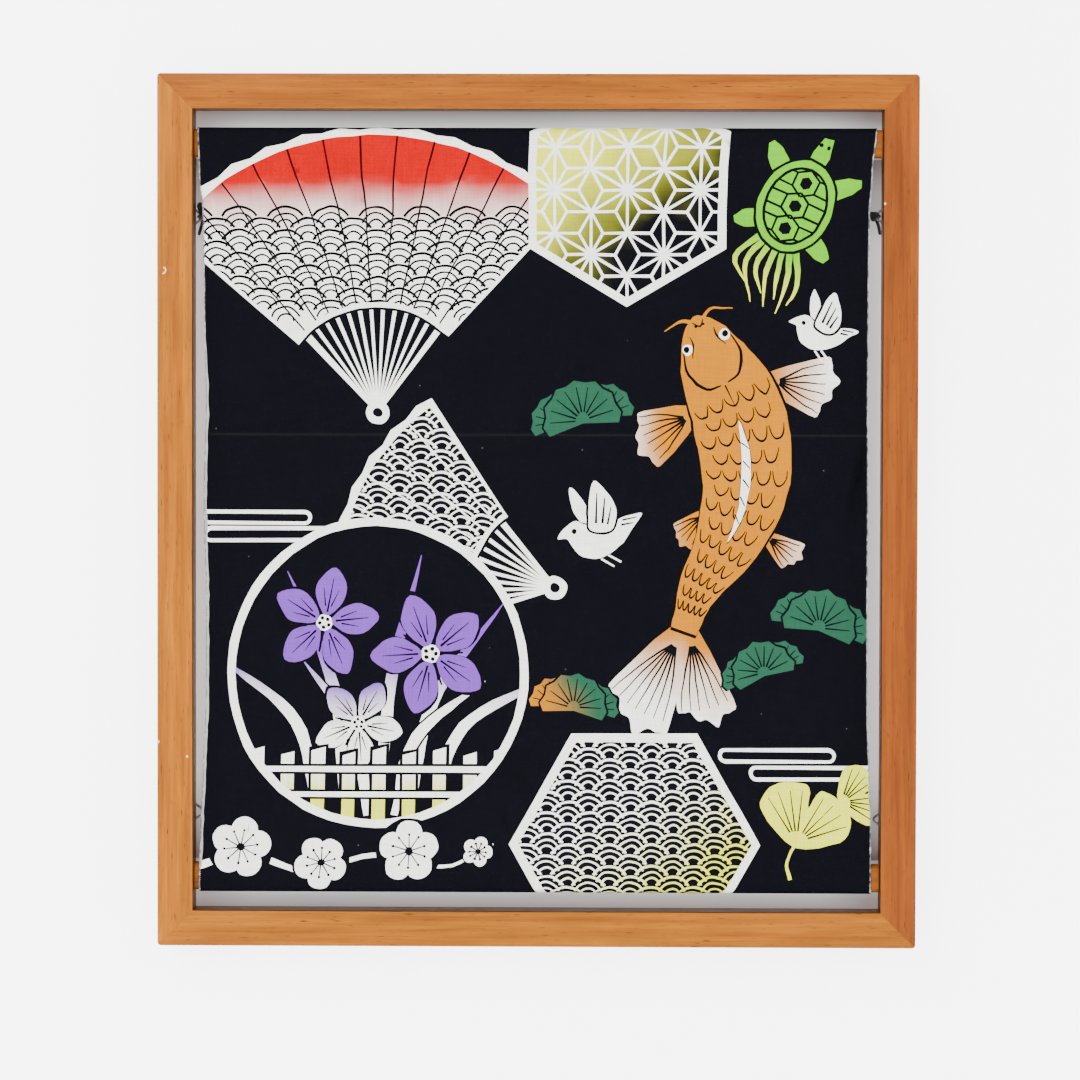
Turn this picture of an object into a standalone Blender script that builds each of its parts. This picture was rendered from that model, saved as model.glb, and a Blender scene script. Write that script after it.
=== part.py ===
"""Tenugui towel in its wooden display frame, with the wire rings and the cord that it hangs by.

Metres. +X is to the right, -Y is the front, +Z is up. The origin is the middle of the top rail's
back face, which lies against the wall. The towel is one long sheet, wound round two crossbars.
"""

import math

import bmesh
import bpy
from mathutils import Matrix, Vector

MM = 0.001

# Frame
FRAME_WIDTH = 0.390
FRAME_HEIGHT = 0.448
FRAME_DEPTH = 0.020
MEMBER_WIDTH = 0.0185
MEMBER_ROUND = 0.0012
SEAT_GAP = 0.0003
TOP_Z = MEMBER_WIDTH / 2
BOTTOM_Z = TOP_Z - FRAME_HEIGHT
INNER_X = FRAME_WIDTH / 2 - MEMBER_WIDTH

# Crossbars that carry the towel
BAR_HEIGHT = 0.0145
BAR_THICKNESS = 0.008
BAR_ROUND = 0.003
BAR_BACK_Y = -0.007
BAR_FRONT_Y = BAR_BACK_Y - BAR_THICKNESS
SLOT_HEIGHT = 0.0097
TOP_BAR_TOP = TOP_Z - MEMBER_WIDTH - SLOT_HEIGHT
BOTTOM_BAR_BOTTOM = BOTTOM_Z + MEMBER_WIDTH + SLOT_HEIGHT

# Towel
TOWEL_LENGTH = 0.900
SHEET_THICKNESS = 0.001
LAYER_GAP = 0.0006
OVERLAP_LOW_Z = -0.260
OVERLAP_STEP_HEIGHT = 0.018
FOLD_BELOW_TOP = 0.1847
FOLD_HEIGHT = 0.0005
FOLD_REACH = 0.003
CURL_DEPTH = 0.0022
CURL_REACH = 0.016
BUCKLE_DEPTH = 0.0006
BUCKLE_ACROSS = 0.019
BUCKLE_LEAN = 15.0
BUCKLE_SWELL = 0.047
CREASE_DEPTH = 0.0007
CREASE_REACH = 0.005
CREASE_FADE = 0.9
BAR_FADE = 0.030
OVERLAP_STEP_BELOW = 0.004
OVERLAP_STEP_ROWS = 6
ROWS_PER_CORNER = 4
FRONT_ROW_STEP = 0.016
BACK_ROW_STEP = 0.030

# Rows across the pressed fold, in FOLD_REACH above and below its middle
FOLD_ROWS = (2.2, 1.1, 0.0, -1.1, -2.2)

# How far each side edge of the towel stands in from its stile, in millimetres, from the top down
EDGE_ROWS = (
    # below the frame's top, left inset, right inset
    (27, 2.4, 3.5),
    (50, 3.1, 5.7),
    (72, 5.0, 7.0),
    (116, 5.5, 7.3),
    (167, 6.5, 7.3),
    (218, 5.4, 7.0),
    (270, 6.5, 7.1),
    (321, 6.5, 6.9),
    (362, 4.9, 5.9),
    (382, 3.9, 4.9),
    (421, 3.1, 4.9),
)

# A soft slanting crease near the right edge: its ends as (x, z)
CREASE_TOP = (0.1690, -0.172)
CREASE_LOW = (0.1590, -0.222)

# Places of the sheet's columns, as a share of the way from the middle to a side edge
COLUMN_SHARES = (0.0, 0.12, 0.25, 0.39, 0.53, 0.66, 0.77, 0.86, 0.92, 0.96, 1.0)

# Hanger rings, plates and screws
WIRE_RADIUS = 0.0007
RING_HEIGHT = 0.009
RING_HALF_ANGLE = math.radians(37.3)
RING_CORNER_RADIUS = 0.0013
PLATE_THICKNESS = 0.0006
PLATE_WIDTH = 0.006
PLATE_LENGTH = 0.0095
PLATE_CURL_ROWS = 14
CURL_RADIUS = WIRE_RADIUS + SEAT_GAP + PLATE_THICKNESS / 2
CURL_TURN = math.radians(285)
PLATE_Y = SEAT_GAP + PLATE_THICKNESS / 2
RING_Y = PLATE_Y + CURL_RADIUS
SCREW_FROM_CURL = 0.0055
SCREW_SHANK_RADIUS = 0.0010
SCREW_POINT_RADIUS = 0.0004
SCREW_POINT_LENGTH = 0.0015
SCREW_HOLE_RADIUS = 0.0013
SCREW_HEAD_RADIUS = 0.0022
SCREW_HEAD_HEIGHT = 0.0012
SCREW_HEAD_SHOULDER = (0.92, 0.55)
SCREW_HEAD_CROWN = 0.55
SCREW_LENGTH = 0.008
SCREW_HOLE_DEPTH = 0.0085
CUTTER_OVERRUN = 0.001
PLATE_CUTTER_END = 0.003

# Each hanger: name, side, x of its ring's outermost tip as a distance from the middle, z of the tip
HANGERS = (
    ("upper_left", -1, 0.17265, -0.0636),
    ("upper_right", 1, 0.17290, -0.0626),
    ("lower_left", -1, 0.17210, -0.3715),
    ("lower_right", 1, 0.17360, -0.3742),
)

# Hanging cord
CORD_RADIUS = 0.0010
TAIL_RADIUS = 0.0009
KNOT_EYE_RADIUS = WIRE_RADIUS + 1.5 * SEAT_GAP + TAIL_RADIUS
KNOT_EYE_TILT = math.radians(12)
KNOT_EYE_POINTS = 16
CORD_POINT_STEP = 0.005
TAIL_POINT_STEP = 0.002
HOOK_Z = -0.030
HOOK_RUN = 0.010
HOOK_TOP_SHARE = 0.45
LEFT_SHARES = (0.0, 0.25, 0.5, 0.75, 0.94, 1.0)
RIGHT_SHARES = (0.0, 0.06, 0.25, 0.5, 0.75, 1.0)

# Each knot: name, hanger, centre of its ball, the ball's radii, and the points of its tail
KNOTS = (
    (
        "cord_knot_left",
        "upper_left",
        (-0.1734, -0.0012, -0.0594),
        (0.0027, 0.0020, 0.0039),
        ((-0.17335, 0.0038, -0.0644), (-0.1741, 0.0038, -0.0680), (-0.1756, 0.0034, -0.0731)),
    ),
    (
        "cord_knot_right",
        "upper_right",
        (0.1725, -0.0012, -0.0626),
        (0.0027, 0.0020, 0.0027),
        ((0.1735, 0.0036, -0.0634), (0.1752, 0.0037, -0.0670), (0.1762, 0.0034, -0.0722)),
    ),
)
CORD_LEFT_END = (-0.1704, -0.0012, -0.0585)
CORD_RIGHT_END = (0.1695, -0.0012, -0.0620)
CORD_Y = -0.0012

# Colours as base colour, roughness and metallic
WOOD = ((0.52, 0.26, 0.10), 0.45, 0.0)
CLOTH = ((0.012, 0.013, 0.018), 0.9, 0.0)
NICKEL = ((0.70, 0.69, 0.66), 0.3, 1.0)
CORD = ((0.012, 0.012, 0.013), 0.8, 0.0)


def make_material(name, look):
    """A plain material with the given colour, roughness and metallic value."""
    colour, roughness, metallic = look
    material = bpy.data.materials.new(name)
    material.use_nodes = True
    surface = material.node_tree.nodes["Principled BSDF"]
    surface.inputs["Base Color"].default_value = (*colour, 1.0)
    surface.inputs["Roughness"].default_value = roughness
    surface.inputs["Metallic"].default_value = metallic
    return material


def add_object(name, data, material):
    """Links an object of the given mesh or curve, with its material."""
    thing = bpy.data.objects.new(name, data)
    bpy.context.scene.collection.objects.link(thing)
    data.materials.append(material)
    return thing


def closed_mesh(name, points, faces):
    """A mesh whose faces are turned outwards."""
    mesh = bpy.data.meshes.new(name)
    mesh.from_pydata([tuple(p) for p in points], [], faces)
    work = bmesh.new()
    work.from_mesh(mesh)
    bmesh.ops.recalc_face_normals(work, faces=work.faces)
    work.to_mesh(mesh)
    work.free()
    return mesh


def rounded_rectangle(width, depth, radius, steps=3):
    """Points round a rectangle from (0, 0) to (width, depth), its corners rounded."""
    corners = (
        (width - radius, radius, -90),
        (width - radius, depth - radius, 0),
        (radius, depth - radius, 90),
        (radius, radius, 180),
    )
    points = []
    for centre_a, centre_b, start in corners:
        for step in range(steps + 1):
            angle = math.radians(start + 90 * step / steps)
            points.append((centre_a + radius * math.cos(angle), centre_b + radius * math.sin(angle)))
    return points


def prism(name, low_ring, high_ring):
    """A solid between two rings of the same number of points."""
    count = len(low_ring)
    faces = [list(range(count)), list(range(count, 2 * count))]
    for i in range(count):
        after = (i + 1) % count
        faces.append([i, after, count + after, count + i])
    return closed_mesh(name, list(low_ring) + list(high_ring), faces)


def frame_member(name, length, place, material):
    """A mitred member. place turns (along, in from the outer edge, depth) into a point."""
    profile = rounded_rectangle(MEMBER_WIDTH, FRAME_DEPTH, MEMBER_ROUND)
    setback = SEAT_GAP / 2 * math.sqrt(2)
    ends = []
    for sign in (-1, 1):
        ends.append([place(sign * (length / 2 - inward - setback), inward, deep) for inward, deep in profile])
    return add_object(name, prism(name, *ends), material)


def frame_members(wood):
    """Two rails and two stiles, by name."""
    middle_z = (TOP_Z + BOTTOM_Z) / 2
    half = FRAME_WIDTH / 2
    places = {
        "rail_top": (FRAME_WIDTH, lambda along, inward, deep: (along, -deep, TOP_Z - inward)),
        "rail_bottom": (FRAME_WIDTH, lambda along, inward, deep: (along, -deep, BOTTOM_Z + inward)),
        "stile_left": (FRAME_HEIGHT, lambda along, inward, deep: (inward - half, -deep, middle_z + along)),
        "stile_right": (FRAME_HEIGHT, lambda along, inward, deep: (half - inward, -deep, middle_z + along)),
    }
    return {name: frame_member(name, length, place, wood) for name, (length, place) in places.items()}


def crossbar(name, low_z, wood):
    """A bar with rounded long edges, from stile to stile."""
    profile = rounded_rectangle(BAR_THICKNESS, BAR_HEIGHT, BAR_ROUND)
    ends = []
    for x in (SEAT_GAP - INNER_X, INNER_X - SEAT_GAP):
        ends.append([(x, BAR_FRONT_Y + across, low_z + up) for across, up in profile])
    return add_object(name, prism(name, *ends), wood)


def ease(share):
    """0 to 1 with a soft start and end."""
    share = min(1.0, max(0.0, share))
    return share * share * (3 - 2 * share)


def edge_inset(below_top, column):
    """The side edge's inset in metres, from EDGE_ROWS."""
    below = below_top / MM
    if below <= EDGE_ROWS[0][0]:
        return EDGE_ROWS[0][column] * MM
    for upper, lower in zip(EDGE_ROWS, EDGE_ROWS[1:]):
        if below <= lower[0]:
            share = ease((below - upper[0]) / (lower[0] - upper[0]))
            return (upper[column] + (lower[column] - upper[column]) * share) * MM
    return EDGE_ROWS[-1][column] * MM


def front_relief(x, z, left_x, right_x):
    """How far the front stands out of its plane, towards the viewer."""
    below_top_bar = ease((TOP_BAR_TOP - BAR_HEIGHT - z) / BAR_FADE)
    above_low_bar = ease((z - BOTTOM_BAR_BOTTOM - BAR_HEIGHT) / BAR_FADE)
    fold_z = TOP_Z - FOLD_BELOW_TOP
    fold = FOLD_HEIGHT * math.exp(-(((z - fold_z) / FOLD_REACH) ** 2))
    near_edge = ease(1 - min(x - left_x, right_x - x) / CURL_REACH)
    curl = -CURL_DEPTH * near_edge
    buckle = BUCKLE_DEPTH * math.cos(x / BUCKLE_ACROSS + z * BUCKLE_LEAN) * math.cos(x / BUCKLE_SWELL)
    (top_x, top_z), (low_x, low_z) = CREASE_TOP, CREASE_LOW
    along = (top_z - z) / (top_z - low_z)
    from_crease = x - (top_x + (low_x - top_x) * along)
    fade = ease(1 - abs(along - 0.5) / CREASE_FADE)
    crease = CREASE_DEPTH * fade * math.exp(-((from_crease / CREASE_REACH) ** 2))
    return below_top_bar * above_low_bar * (fold + curl + buckle + crease)


def corner_rows(centre_y, centre_z, start):
    """Rows round a quarter turn of the towel over a bar, as (y, z, normal y, normal z)."""
    radius = BAR_ROUND + SEAT_GAP + SHEET_THICKNESS / 2
    rows = []
    for step in range(ROWS_PER_CORNER + 1):
        angle = math.radians(start + 90 * step / ROWS_PER_CORNER)
        out_y, out_z = math.cos(angle), math.sin(angle)
        rows.append((centre_y + radius * out_y, centre_z + radius * out_z, out_y, out_z))
    return rows


def straight_rows(y, start_z, end_z, out_y, step):
    """Rows between two heights, neither end included."""
    count = max(1, round(abs(end_z - start_z) / step))
    return [(y, start_z + (end_z - start_z) * i / count, out_y, 0.0) for i in range(1, count)]


def towel_rows():
    """Rows along the towel from its inner end at the back, over the front, to its outer end."""
    stand_off = SEAT_GAP + SHEET_THICKNESS / 2
    back_y = BAR_BACK_Y + stand_off
    front_y = BAR_FRONT_Y - stand_off
    outer_y = back_y + SHEET_THICKNESS + LAYER_GAP
    near_y, far_y = BAR_BACK_Y - BAR_ROUND, BAR_FRONT_Y + BAR_ROUND
    top_z = TOP_BAR_TOP - BAR_ROUND
    low_z = BOTTOM_BAR_BOTTOM + BAR_ROUND
    step_start = OVERLAP_LOW_Z - OVERLAP_STEP_BELOW - OVERLAP_STEP_HEIGHT

    rows = [(back_y, OVERLAP_LOW_Z, 1.0, 0.0)]
    rows += straight_rows(back_y, OVERLAP_LOW_Z, top_z, 1.0, BACK_ROW_STEP)
    rows += corner_rows(near_y, top_z, 0)
    rows += corner_rows(far_y, top_z, 90)
    rows += front_rows(front_y, top_z, low_z)
    rows += corner_rows(far_y, low_z, 180)
    rows += corner_rows(near_y, low_z, 270)
    rows += straight_rows(back_y, low_z, step_start, 1.0, BACK_ROW_STEP)
    for i in range(OVERLAP_STEP_ROWS + 1):
        share = i / OVERLAP_STEP_ROWS
        y = back_y + (outer_y - back_y) * ease(share)
        rows.append((y, step_start + OVERLAP_STEP_HEIGHT * share, 1.0, 0.0))
    so_far = sum(math.hypot(b[0] - a[0], b[1] - a[1]) for a, b in zip(rows, rows[1:]))
    end_z = rows[-1][1] + TOWEL_LENGTH - so_far
    rows += straight_rows(outer_y, rows[-1][1], end_z, 1.0, BACK_ROW_STEP)
    rows.append((outer_y, end_z, 1.0, 0.0))
    return rows


def front_rows(y, start_z, end_z):
    """Rows down the front, closer together across the pressed fold."""
    fold_z = TOP_Z - FOLD_BELOW_TOP
    fold_places = [fold_z + FOLD_REACH * share for share in FOLD_ROWS]
    above = straight_rows(y, start_z, fold_places[0], -1.0, FRONT_ROW_STEP)
    below = straight_rows(y, fold_places[-1], end_z, -1.0, FRONT_ROW_STEP)
    return above + [(y, z, -1.0, 0.0) for z in fold_places] + below


def towel_edges(z):
    """The x of the left and right side edges at a height, alike at the front and the back."""
    below_top = TOP_Z - z
    return edge_inset(below_top, 1) - INNER_X, INNER_X - edge_inset(below_top, 2)


def towel(cloth):
    """The whole towel as one solid sheet."""
    shares = [-s for s in reversed(COLUMN_SHARES[1:])] + list(COLUMN_SHARES)
    rows = towel_rows()
    sides = {1: [], -1: []}
    for row in rows:
        y, z, out_y, out_z = row
        left_x, right_x = towel_edges(z)
        middle, half = (left_x + right_x) / 2, (right_x - left_x) / 2
        on_front = out_y == -1.0
        for share in shares:
            x = middle + half * share
            stand = front_relief(x, z, left_x, right_x) if on_front else 0.0
            for side in (1, -1):
                out = stand + side * SHEET_THICKNESS / 2
                sides[side].append((x, y + out * out_y, z + out * out_z))
    count = len(shares)
    inner = len(sides[1])
    faces = []
    for r in range(len(rows) - 1):
        for c in range(count - 1):
            a = r * count + c
            faces.append([a, a + 1, a + count + 1, a + count])
            faces.append([inner + a, inner + a + count, inner + a + count + 1, inner + a + 1])
        for c in (0, count - 1):
            a = r * count + c
            faces.append([a, a + count, inner + a + count, inner + a])
    for r in (0, len(rows) - 1):
        for c in range(count - 1):
            a = r * count + c
            faces.append([a, a + 1, inner + a + 1, inner + a])
    return add_object("towel", closed_mesh("towel", sides[1] + sides[-1], faces), cloth)


def tube(name, points, radius, material):
    """A round tube along points, as a curve with a bevel and filled ends."""
    curve = bpy.data.curves.new(name, "CURVE")
    curve.dimensions = "3D"
    curve.bevel_depth = radius
    curve.bevel_resolution = 2
    curve.use_fill_caps = True
    spline = curve.splines.new("POLY")
    spline.points.add(len(points) - 1)
    for spot, point in zip(spline.points, points):
        spot.co = (*point, 1.0)
    return add_object(name, curve, material)


def rounded_corner(before, corner, after, radius, steps=5):
    """Points round a corner of the given radius in the plane of three points."""
    towards = (before - corner).normalized()
    away = (after - corner).normalized()
    half = towards.angle(away) / 2
    centre = corner + (towards + away).normalized() * (radius / math.sin(half))
    first = corner + towards * (radius / math.tan(half)) - centre
    last = corner + away * (radius / math.tan(half)) - centre
    turn = first.angle(last)
    points = []
    for i in range(steps + 1):
        done = turn * i / steps
        points.append(centre + (first * math.sin(turn - done) + last * math.sin(done)) / math.sin(turn))
    return points


def ring_tip_middle(side, tip_x):
    """The x of the wire's centre line at a ring's tip."""
    return side * (tip_x + WIRE_RADIUS)


def ring_base_x(side, tip_x):
    """The x of the straight side of a ring, which its plate curls round."""
    lost = RING_CORNER_RADIUS * (1 / math.sin(RING_HALF_ANGLE) - 1)
    return side * (tip_x + WIRE_RADIUS - lost + RING_HEIGHT)


def hanger_ring(label, side, tip_x, tip_z, nickel):
    """A triangle of wire, its point towards the middle of the frame."""
    base_x = ring_base_x(side, tip_x)
    half_base = RING_HEIGHT * math.tan(RING_HALF_ANGLE)
    corners = [
        Vector((base_x - side * RING_HEIGHT, RING_Y, tip_z)),
        Vector((base_x, RING_Y, tip_z + half_base)),
        Vector((base_x, RING_Y, tip_z - half_base)),
    ]
    points = []
    for i in range(3):
        points += rounded_corner(corners[i - 1], corners[i], corners[(i + 1) % 3], RING_CORNER_RADIUS)
    name = f"hanger_ring_{label}"
    return add_object(name, round_mesh(name, points, WIRE_RADIUS, cyclic=True), nickel)


def cylinder_cutter(name, radius, start_y, end_y, x, z):
    """A round cutter along Y."""
    low, high = [], []
    for i in range(12):
        angle = math.radians(30 * i)
        across, up = radius * math.cos(angle), radius * math.sin(angle)
        low.append((x + across, start_y, z + up))
        high.append((x + across, end_y, z + up))
    mesh = prism(name, low, high)
    cutter = bpy.data.objects.new(name, mesh)
    bpy.context.scene.collection.objects.link(cutter)
    cutter.hide_render = True
    cutter.display_type = "WIRE"
    return cutter


def cut(thing, cutter):
    """Takes the cutter out of the thing."""
    boolean = thing.modifiers.new(cutter.name, "BOOLEAN")
    boolean.operation = "DIFFERENCE"
    boolean.solver = "EXACT"
    boolean.object = cutter


def hanger_plate(label, side, tip_x, tip_z, nickel):
    """A strip of sheet metal that curls round the ring's straight side."""
    base_x = ring_base_x(side, tip_x)
    path = [(base_x + side * PLATE_LENGTH, PLATE_Y, 0.0, 1.0)]
    for i in range(PLATE_CURL_ROWS + 1):
        angle = CURL_TURN * i / PLATE_CURL_ROWS
        across, deep = -math.sin(angle), -math.cos(angle)
        x, y = base_x + side * CURL_RADIUS * across, RING_Y + CURL_RADIUS * deep
        path.append((x, y, -side * across, -deep))
    half = PLATE_THICKNESS / 2
    points, faces = [], []
    for x, y, out_x, out_y in path:
        for z in (tip_z - PLATE_WIDTH / 2, tip_z + PLATE_WIDTH / 2):
            points.append((x - out_x * half, y - out_y * half, z))
            points.append((x + out_x * half, y + out_y * half, z))
    for i in range(len(path) - 1):
        a, b = 4 * i, 4 * i + 4
        faces += [[a, a + 1, b + 1, b], [a + 2, b + 2, b + 3, a + 3]]
        faces += [[a, b, b + 2, a + 2], [a + 1, a + 3, b + 3, b + 1]]
    last = 4 * (len(path) - 1)
    faces += [[0, 2, 3, 1], [last, last + 1, last + 3, last + 2]]
    name = f"hanger_plate_{label}"
    plate = add_object(name, closed_mesh(name, points, faces), nickel)
    screw_x = base_x + side * SCREW_FROM_CURL
    ends = (-CUTTER_OVERRUN, PLATE_CUTTER_END)
    cut(plate, cylinder_cutter(f"hole_{name}", SCREW_HOLE_RADIUS, *ends, screw_x, tip_z))
    return plate


def turned(name, profile, x, z, material, sides=12):
    """A solid turned about a line along Y. The profile is rows of (radius, y), closed at both ends."""
    points, faces = [], []
    for radius, y in profile:
        for i in range(sides):
            angle = 2 * math.pi * i / sides
            points.append((x + radius * math.cos(angle), y, z + radius * math.sin(angle)))
    for r in range(len(profile) - 1):
        for i in range(sides):
            after = (i + 1) % sides
            faces.append([r * sides + i, r * sides + after, (r + 1) * sides + after, (r + 1) * sides + i])
    last = (len(profile) - 1) * sides
    faces += [list(range(sides)), list(range(last, last + sides))]
    return add_object(name, closed_mesh(name, points, faces), material)


def hanger_screw(label, side, tip_x, tip_z, stile, nickel):
    """A round-headed screw through the plate, in its own hole in the stile."""
    x = ring_base_x(side, tip_x) + side * SCREW_FROM_CURL
    under_head = 2 * SEAT_GAP + PLATE_THICKNESS
    shoulder, shoulder_height = SCREW_HEAD_SHOULDER
    profile = (
        (SCREW_POINT_RADIUS, under_head - SCREW_LENGTH),
        (SCREW_SHANK_RADIUS, under_head - SCREW_LENGTH + SCREW_POINT_LENGTH),
        (SCREW_SHANK_RADIUS, under_head),
        (SCREW_HEAD_RADIUS, under_head),
        (SCREW_HEAD_RADIUS * shoulder, under_head + SCREW_HEAD_HEIGHT * shoulder_height),
        (SCREW_HEAD_RADIUS * SCREW_HEAD_CROWN, under_head + SCREW_HEAD_HEIGHT),
    )
    name = f"hanger_screw_{label}"
    ends = (-SCREW_HOLE_DEPTH, CUTTER_OVERRUN)
    cut(stile, cylinder_cutter(f"hole_{name}", SCREW_HOLE_RADIUS, *ends, x, tip_z))
    return turned(name, profile, x, tip_z, nickel)


def smooth_points(route, step):
    """Points a step apart on a smooth curve through the route."""
    spots = [Vector(p) for p in route]
    spots = [2 * spots[0] - spots[1]] + spots + [2 * spots[-1] - spots[-2]]
    points = []
    for before, start, end, after in zip(spots, spots[1:], spots[2:], spots[3:]):
        count = max(2, round((end - start).length / step))
        for i in range(count):
            t = i / count
            points.append(
                0.5
                * (
                    2 * start
                    + (end - before) * t
                    + (2 * before - 5 * start + 4 * end - after) * t * t
                    + (3 * start - before - 3 * end + after) * t**3
                )
            )
    points.append(spots[-2])
    return points


def cord_route():
    """The cord from knot to knot, straight up to the hook's place and down again."""
    left, right = Vector(CORD_LEFT_END), Vector(CORD_RIGHT_END)
    hook = Vector((0.0, CORD_Y, HOOK_Z))
    left_turn = hook.lerp(left, HOOK_RUN / (left - hook).length)
    right_turn = hook.lerp(right, HOOK_RUN / (right - hook).length)
    top = hook.lerp((left_turn + right_turn) / 2, HOOK_TOP_SHARE)
    route = [left.lerp(left_turn, share) for share in LEFT_SHARES]
    route.append(top)
    route += [right_turn.lerp(right, share) for share in RIGHT_SHARES]
    return route


def joined(thing, others):
    """Adds the others' solids to the thing."""
    for other in others:
        other.hide_render = True
        other.display_type = "WIRE"
        boolean = thing.modifiers.new(other.name, "BOOLEAN")
        boolean.operation = "UNION"
        boolean.solver = "EXACT"
        boolean.object = other


def ball_mesh(name, radii, steps=6, sides=12):
    """A ball with three radii, poles along Z."""
    points = [(0.0, 0.0, -radii[2])]
    for r in range(1, steps):
        tilt = math.pi * r / steps - math.pi / 2
        for i in range(sides):
            turn = 2 * math.pi * i / sides
            points.append(
                (
                    radii[0] * math.cos(tilt) * math.cos(turn),
                    radii[1] * math.cos(tilt) * math.sin(turn),
                    radii[2] * math.sin(tilt),
                )
            )
    points.append((0.0, 0.0, radii[2]))
    faces = []
    top = len(points) - 1
    for i in range(sides):
        after = (i + 1) % sides
        faces.append([0, 1 + after, 1 + i])
        faces.append([top, top - sides + i, top - sides + after])
        for r in range(steps - 2):
            low, high = 1 + r * sides, 1 + (r + 1) * sides
            faces.append([low + i, low + after, high + after, high + i])
    return closed_mesh(name, points, faces)


def round_mesh(name, points, radius, cyclic=False, sides=8):
    """A round tube along points as a mesh, with flat ends unless it closes on itself."""
    count = len(points)
    rings = []
    for i, point in enumerate(points):
        before = points[i - 1] if cyclic or i else point
        after = points[(i + 1) % count] if cyclic or i < count - 1 else point
        along = (after - before).normalized()
        across = along.cross(Vector((0.31, 0.82, 0.48))).normalized()
        up = along.cross(across)
        for k in range(sides):
            angle = 2 * math.pi * k / sides
            rings.append(point + radius * (math.cos(angle) * across + math.sin(angle) * up))
    faces = []
    for i in range(count if cyclic else count - 1):
        low, high = i * sides, ((i + 1) % count) * sides
        for k in range(sides):
            after = (k + 1) % sides
            faces.append([low + k, low + after, high + after, high + k])
    if not cyclic:
        last = (count - 1) * sides
        faces += [list(range(sides)), list(range(last, last + sides))]
    return closed_mesh(name, rings, faces)


def knot(name, hanger, centre, radii, tail, black):
    """A knot round a ring's point: its ball, the eye round the wire, and its tail."""
    side, tip_x, tip_z = {label: rest for label, *rest in HANGERS}[hanger]
    body = add_object(name, ball_mesh(name, radii), black)
    body.location = centre
    eye_middle = Vector((ring_tip_middle(side, tip_x), RING_Y, tip_z))
    tilt = Matrix.Rotation(-KNOT_EYE_TILT, 3, "X")
    eye_points = []
    for i in range(KNOT_EYE_POINTS):
        angle = 2 * math.pi * i / KNOT_EYE_POINTS
        spot = Vector((math.cos(angle), math.sin(angle), 0.0)) * KNOT_EYE_RADIUS
        eye_points.append(eye_middle + tilt @ spot)
    eye_name, tail_name = f"{name}_eye", f"{name}_tail"
    eye = add_object(eye_name, round_mesh(eye_name, eye_points, TAIL_RADIUS, cyclic=True), black)
    tail_points = smooth_points(tail, TAIL_POINT_STEP)
    end = add_object(tail_name, round_mesh(tail_name, tail_points, TAIL_RADIUS), black)
    joined(body, [eye, end])
    return body


def build():
    """The whole object."""
    for thing in list(bpy.data.objects):
        bpy.data.objects.remove(thing, do_unlink=True)
    wood = make_material("wood", WOOD)
    cloth = make_material("cloth", CLOTH)
    nickel = make_material("nickel", NICKEL)
    black = make_material("cord", CORD)
    members = frame_members(wood)
    crossbar("crossbar_top", TOP_BAR_TOP - BAR_HEIGHT, wood)
    crossbar("crossbar_bottom", BOTTOM_BAR_BOTTOM, wood)
    towel(cloth)
    for label, side, tip_x, tip_z in HANGERS:
        stile = members["stile_left" if side < 0 else "stile_right"]
        hanger_ring(label, side, tip_x, tip_z, nickel)
        hanger_plate(label, side, tip_x, tip_z, nickel)
        hanger_screw(label, side, tip_x, tip_z, stile, nickel)
    for name, hanger, centre, radii, tail in KNOTS:
        knot(name, hanger, centre, radii, tail, black)
    tube("hanging_cord", smooth_points(cord_route(), CORD_POINT_STEP), CORD_RADIUS, black)


build()
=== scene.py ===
"""Looks of the tenugui towel in its wooden display frame: oiled wood, dyed cotton, wire rings and cord.

Everything is in metres, in the same frame as the solids. The towel's print is planned in millimetres
on the flat cloth: u runs across it from the middle, t runs down from the top of the front.
"""

import math

import bmesh
import bpy
from mathutils import Matrix, Vector, noise
from mathutils.geometry import delaunay_2d_cdt


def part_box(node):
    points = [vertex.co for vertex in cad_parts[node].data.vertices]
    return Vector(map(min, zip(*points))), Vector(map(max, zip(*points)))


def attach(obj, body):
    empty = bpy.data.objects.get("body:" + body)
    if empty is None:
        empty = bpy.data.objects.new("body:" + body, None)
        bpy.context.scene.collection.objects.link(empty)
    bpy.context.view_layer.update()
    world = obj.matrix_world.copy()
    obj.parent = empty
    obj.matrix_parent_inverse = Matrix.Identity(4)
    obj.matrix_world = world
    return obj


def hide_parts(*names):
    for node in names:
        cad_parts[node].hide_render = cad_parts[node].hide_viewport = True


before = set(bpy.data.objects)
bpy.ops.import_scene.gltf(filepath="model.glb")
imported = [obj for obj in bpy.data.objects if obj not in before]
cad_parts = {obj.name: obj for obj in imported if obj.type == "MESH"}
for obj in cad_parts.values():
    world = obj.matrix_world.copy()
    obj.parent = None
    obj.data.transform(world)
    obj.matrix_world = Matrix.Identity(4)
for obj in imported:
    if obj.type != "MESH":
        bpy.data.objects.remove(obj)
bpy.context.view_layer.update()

MM = 0.001

# Camera, fitted to the eight front corners of the frame in the photograph
CAMERA_PLACE = (0.040938, -2.5, -0.134507)
CAMERA_TURN = (1.532634, -0.002507, 0.01596)
CAMERA_LENS = 161.436
CAMERA_SENSOR = 36.0
CAMERA_REACH = 20.0

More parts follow.
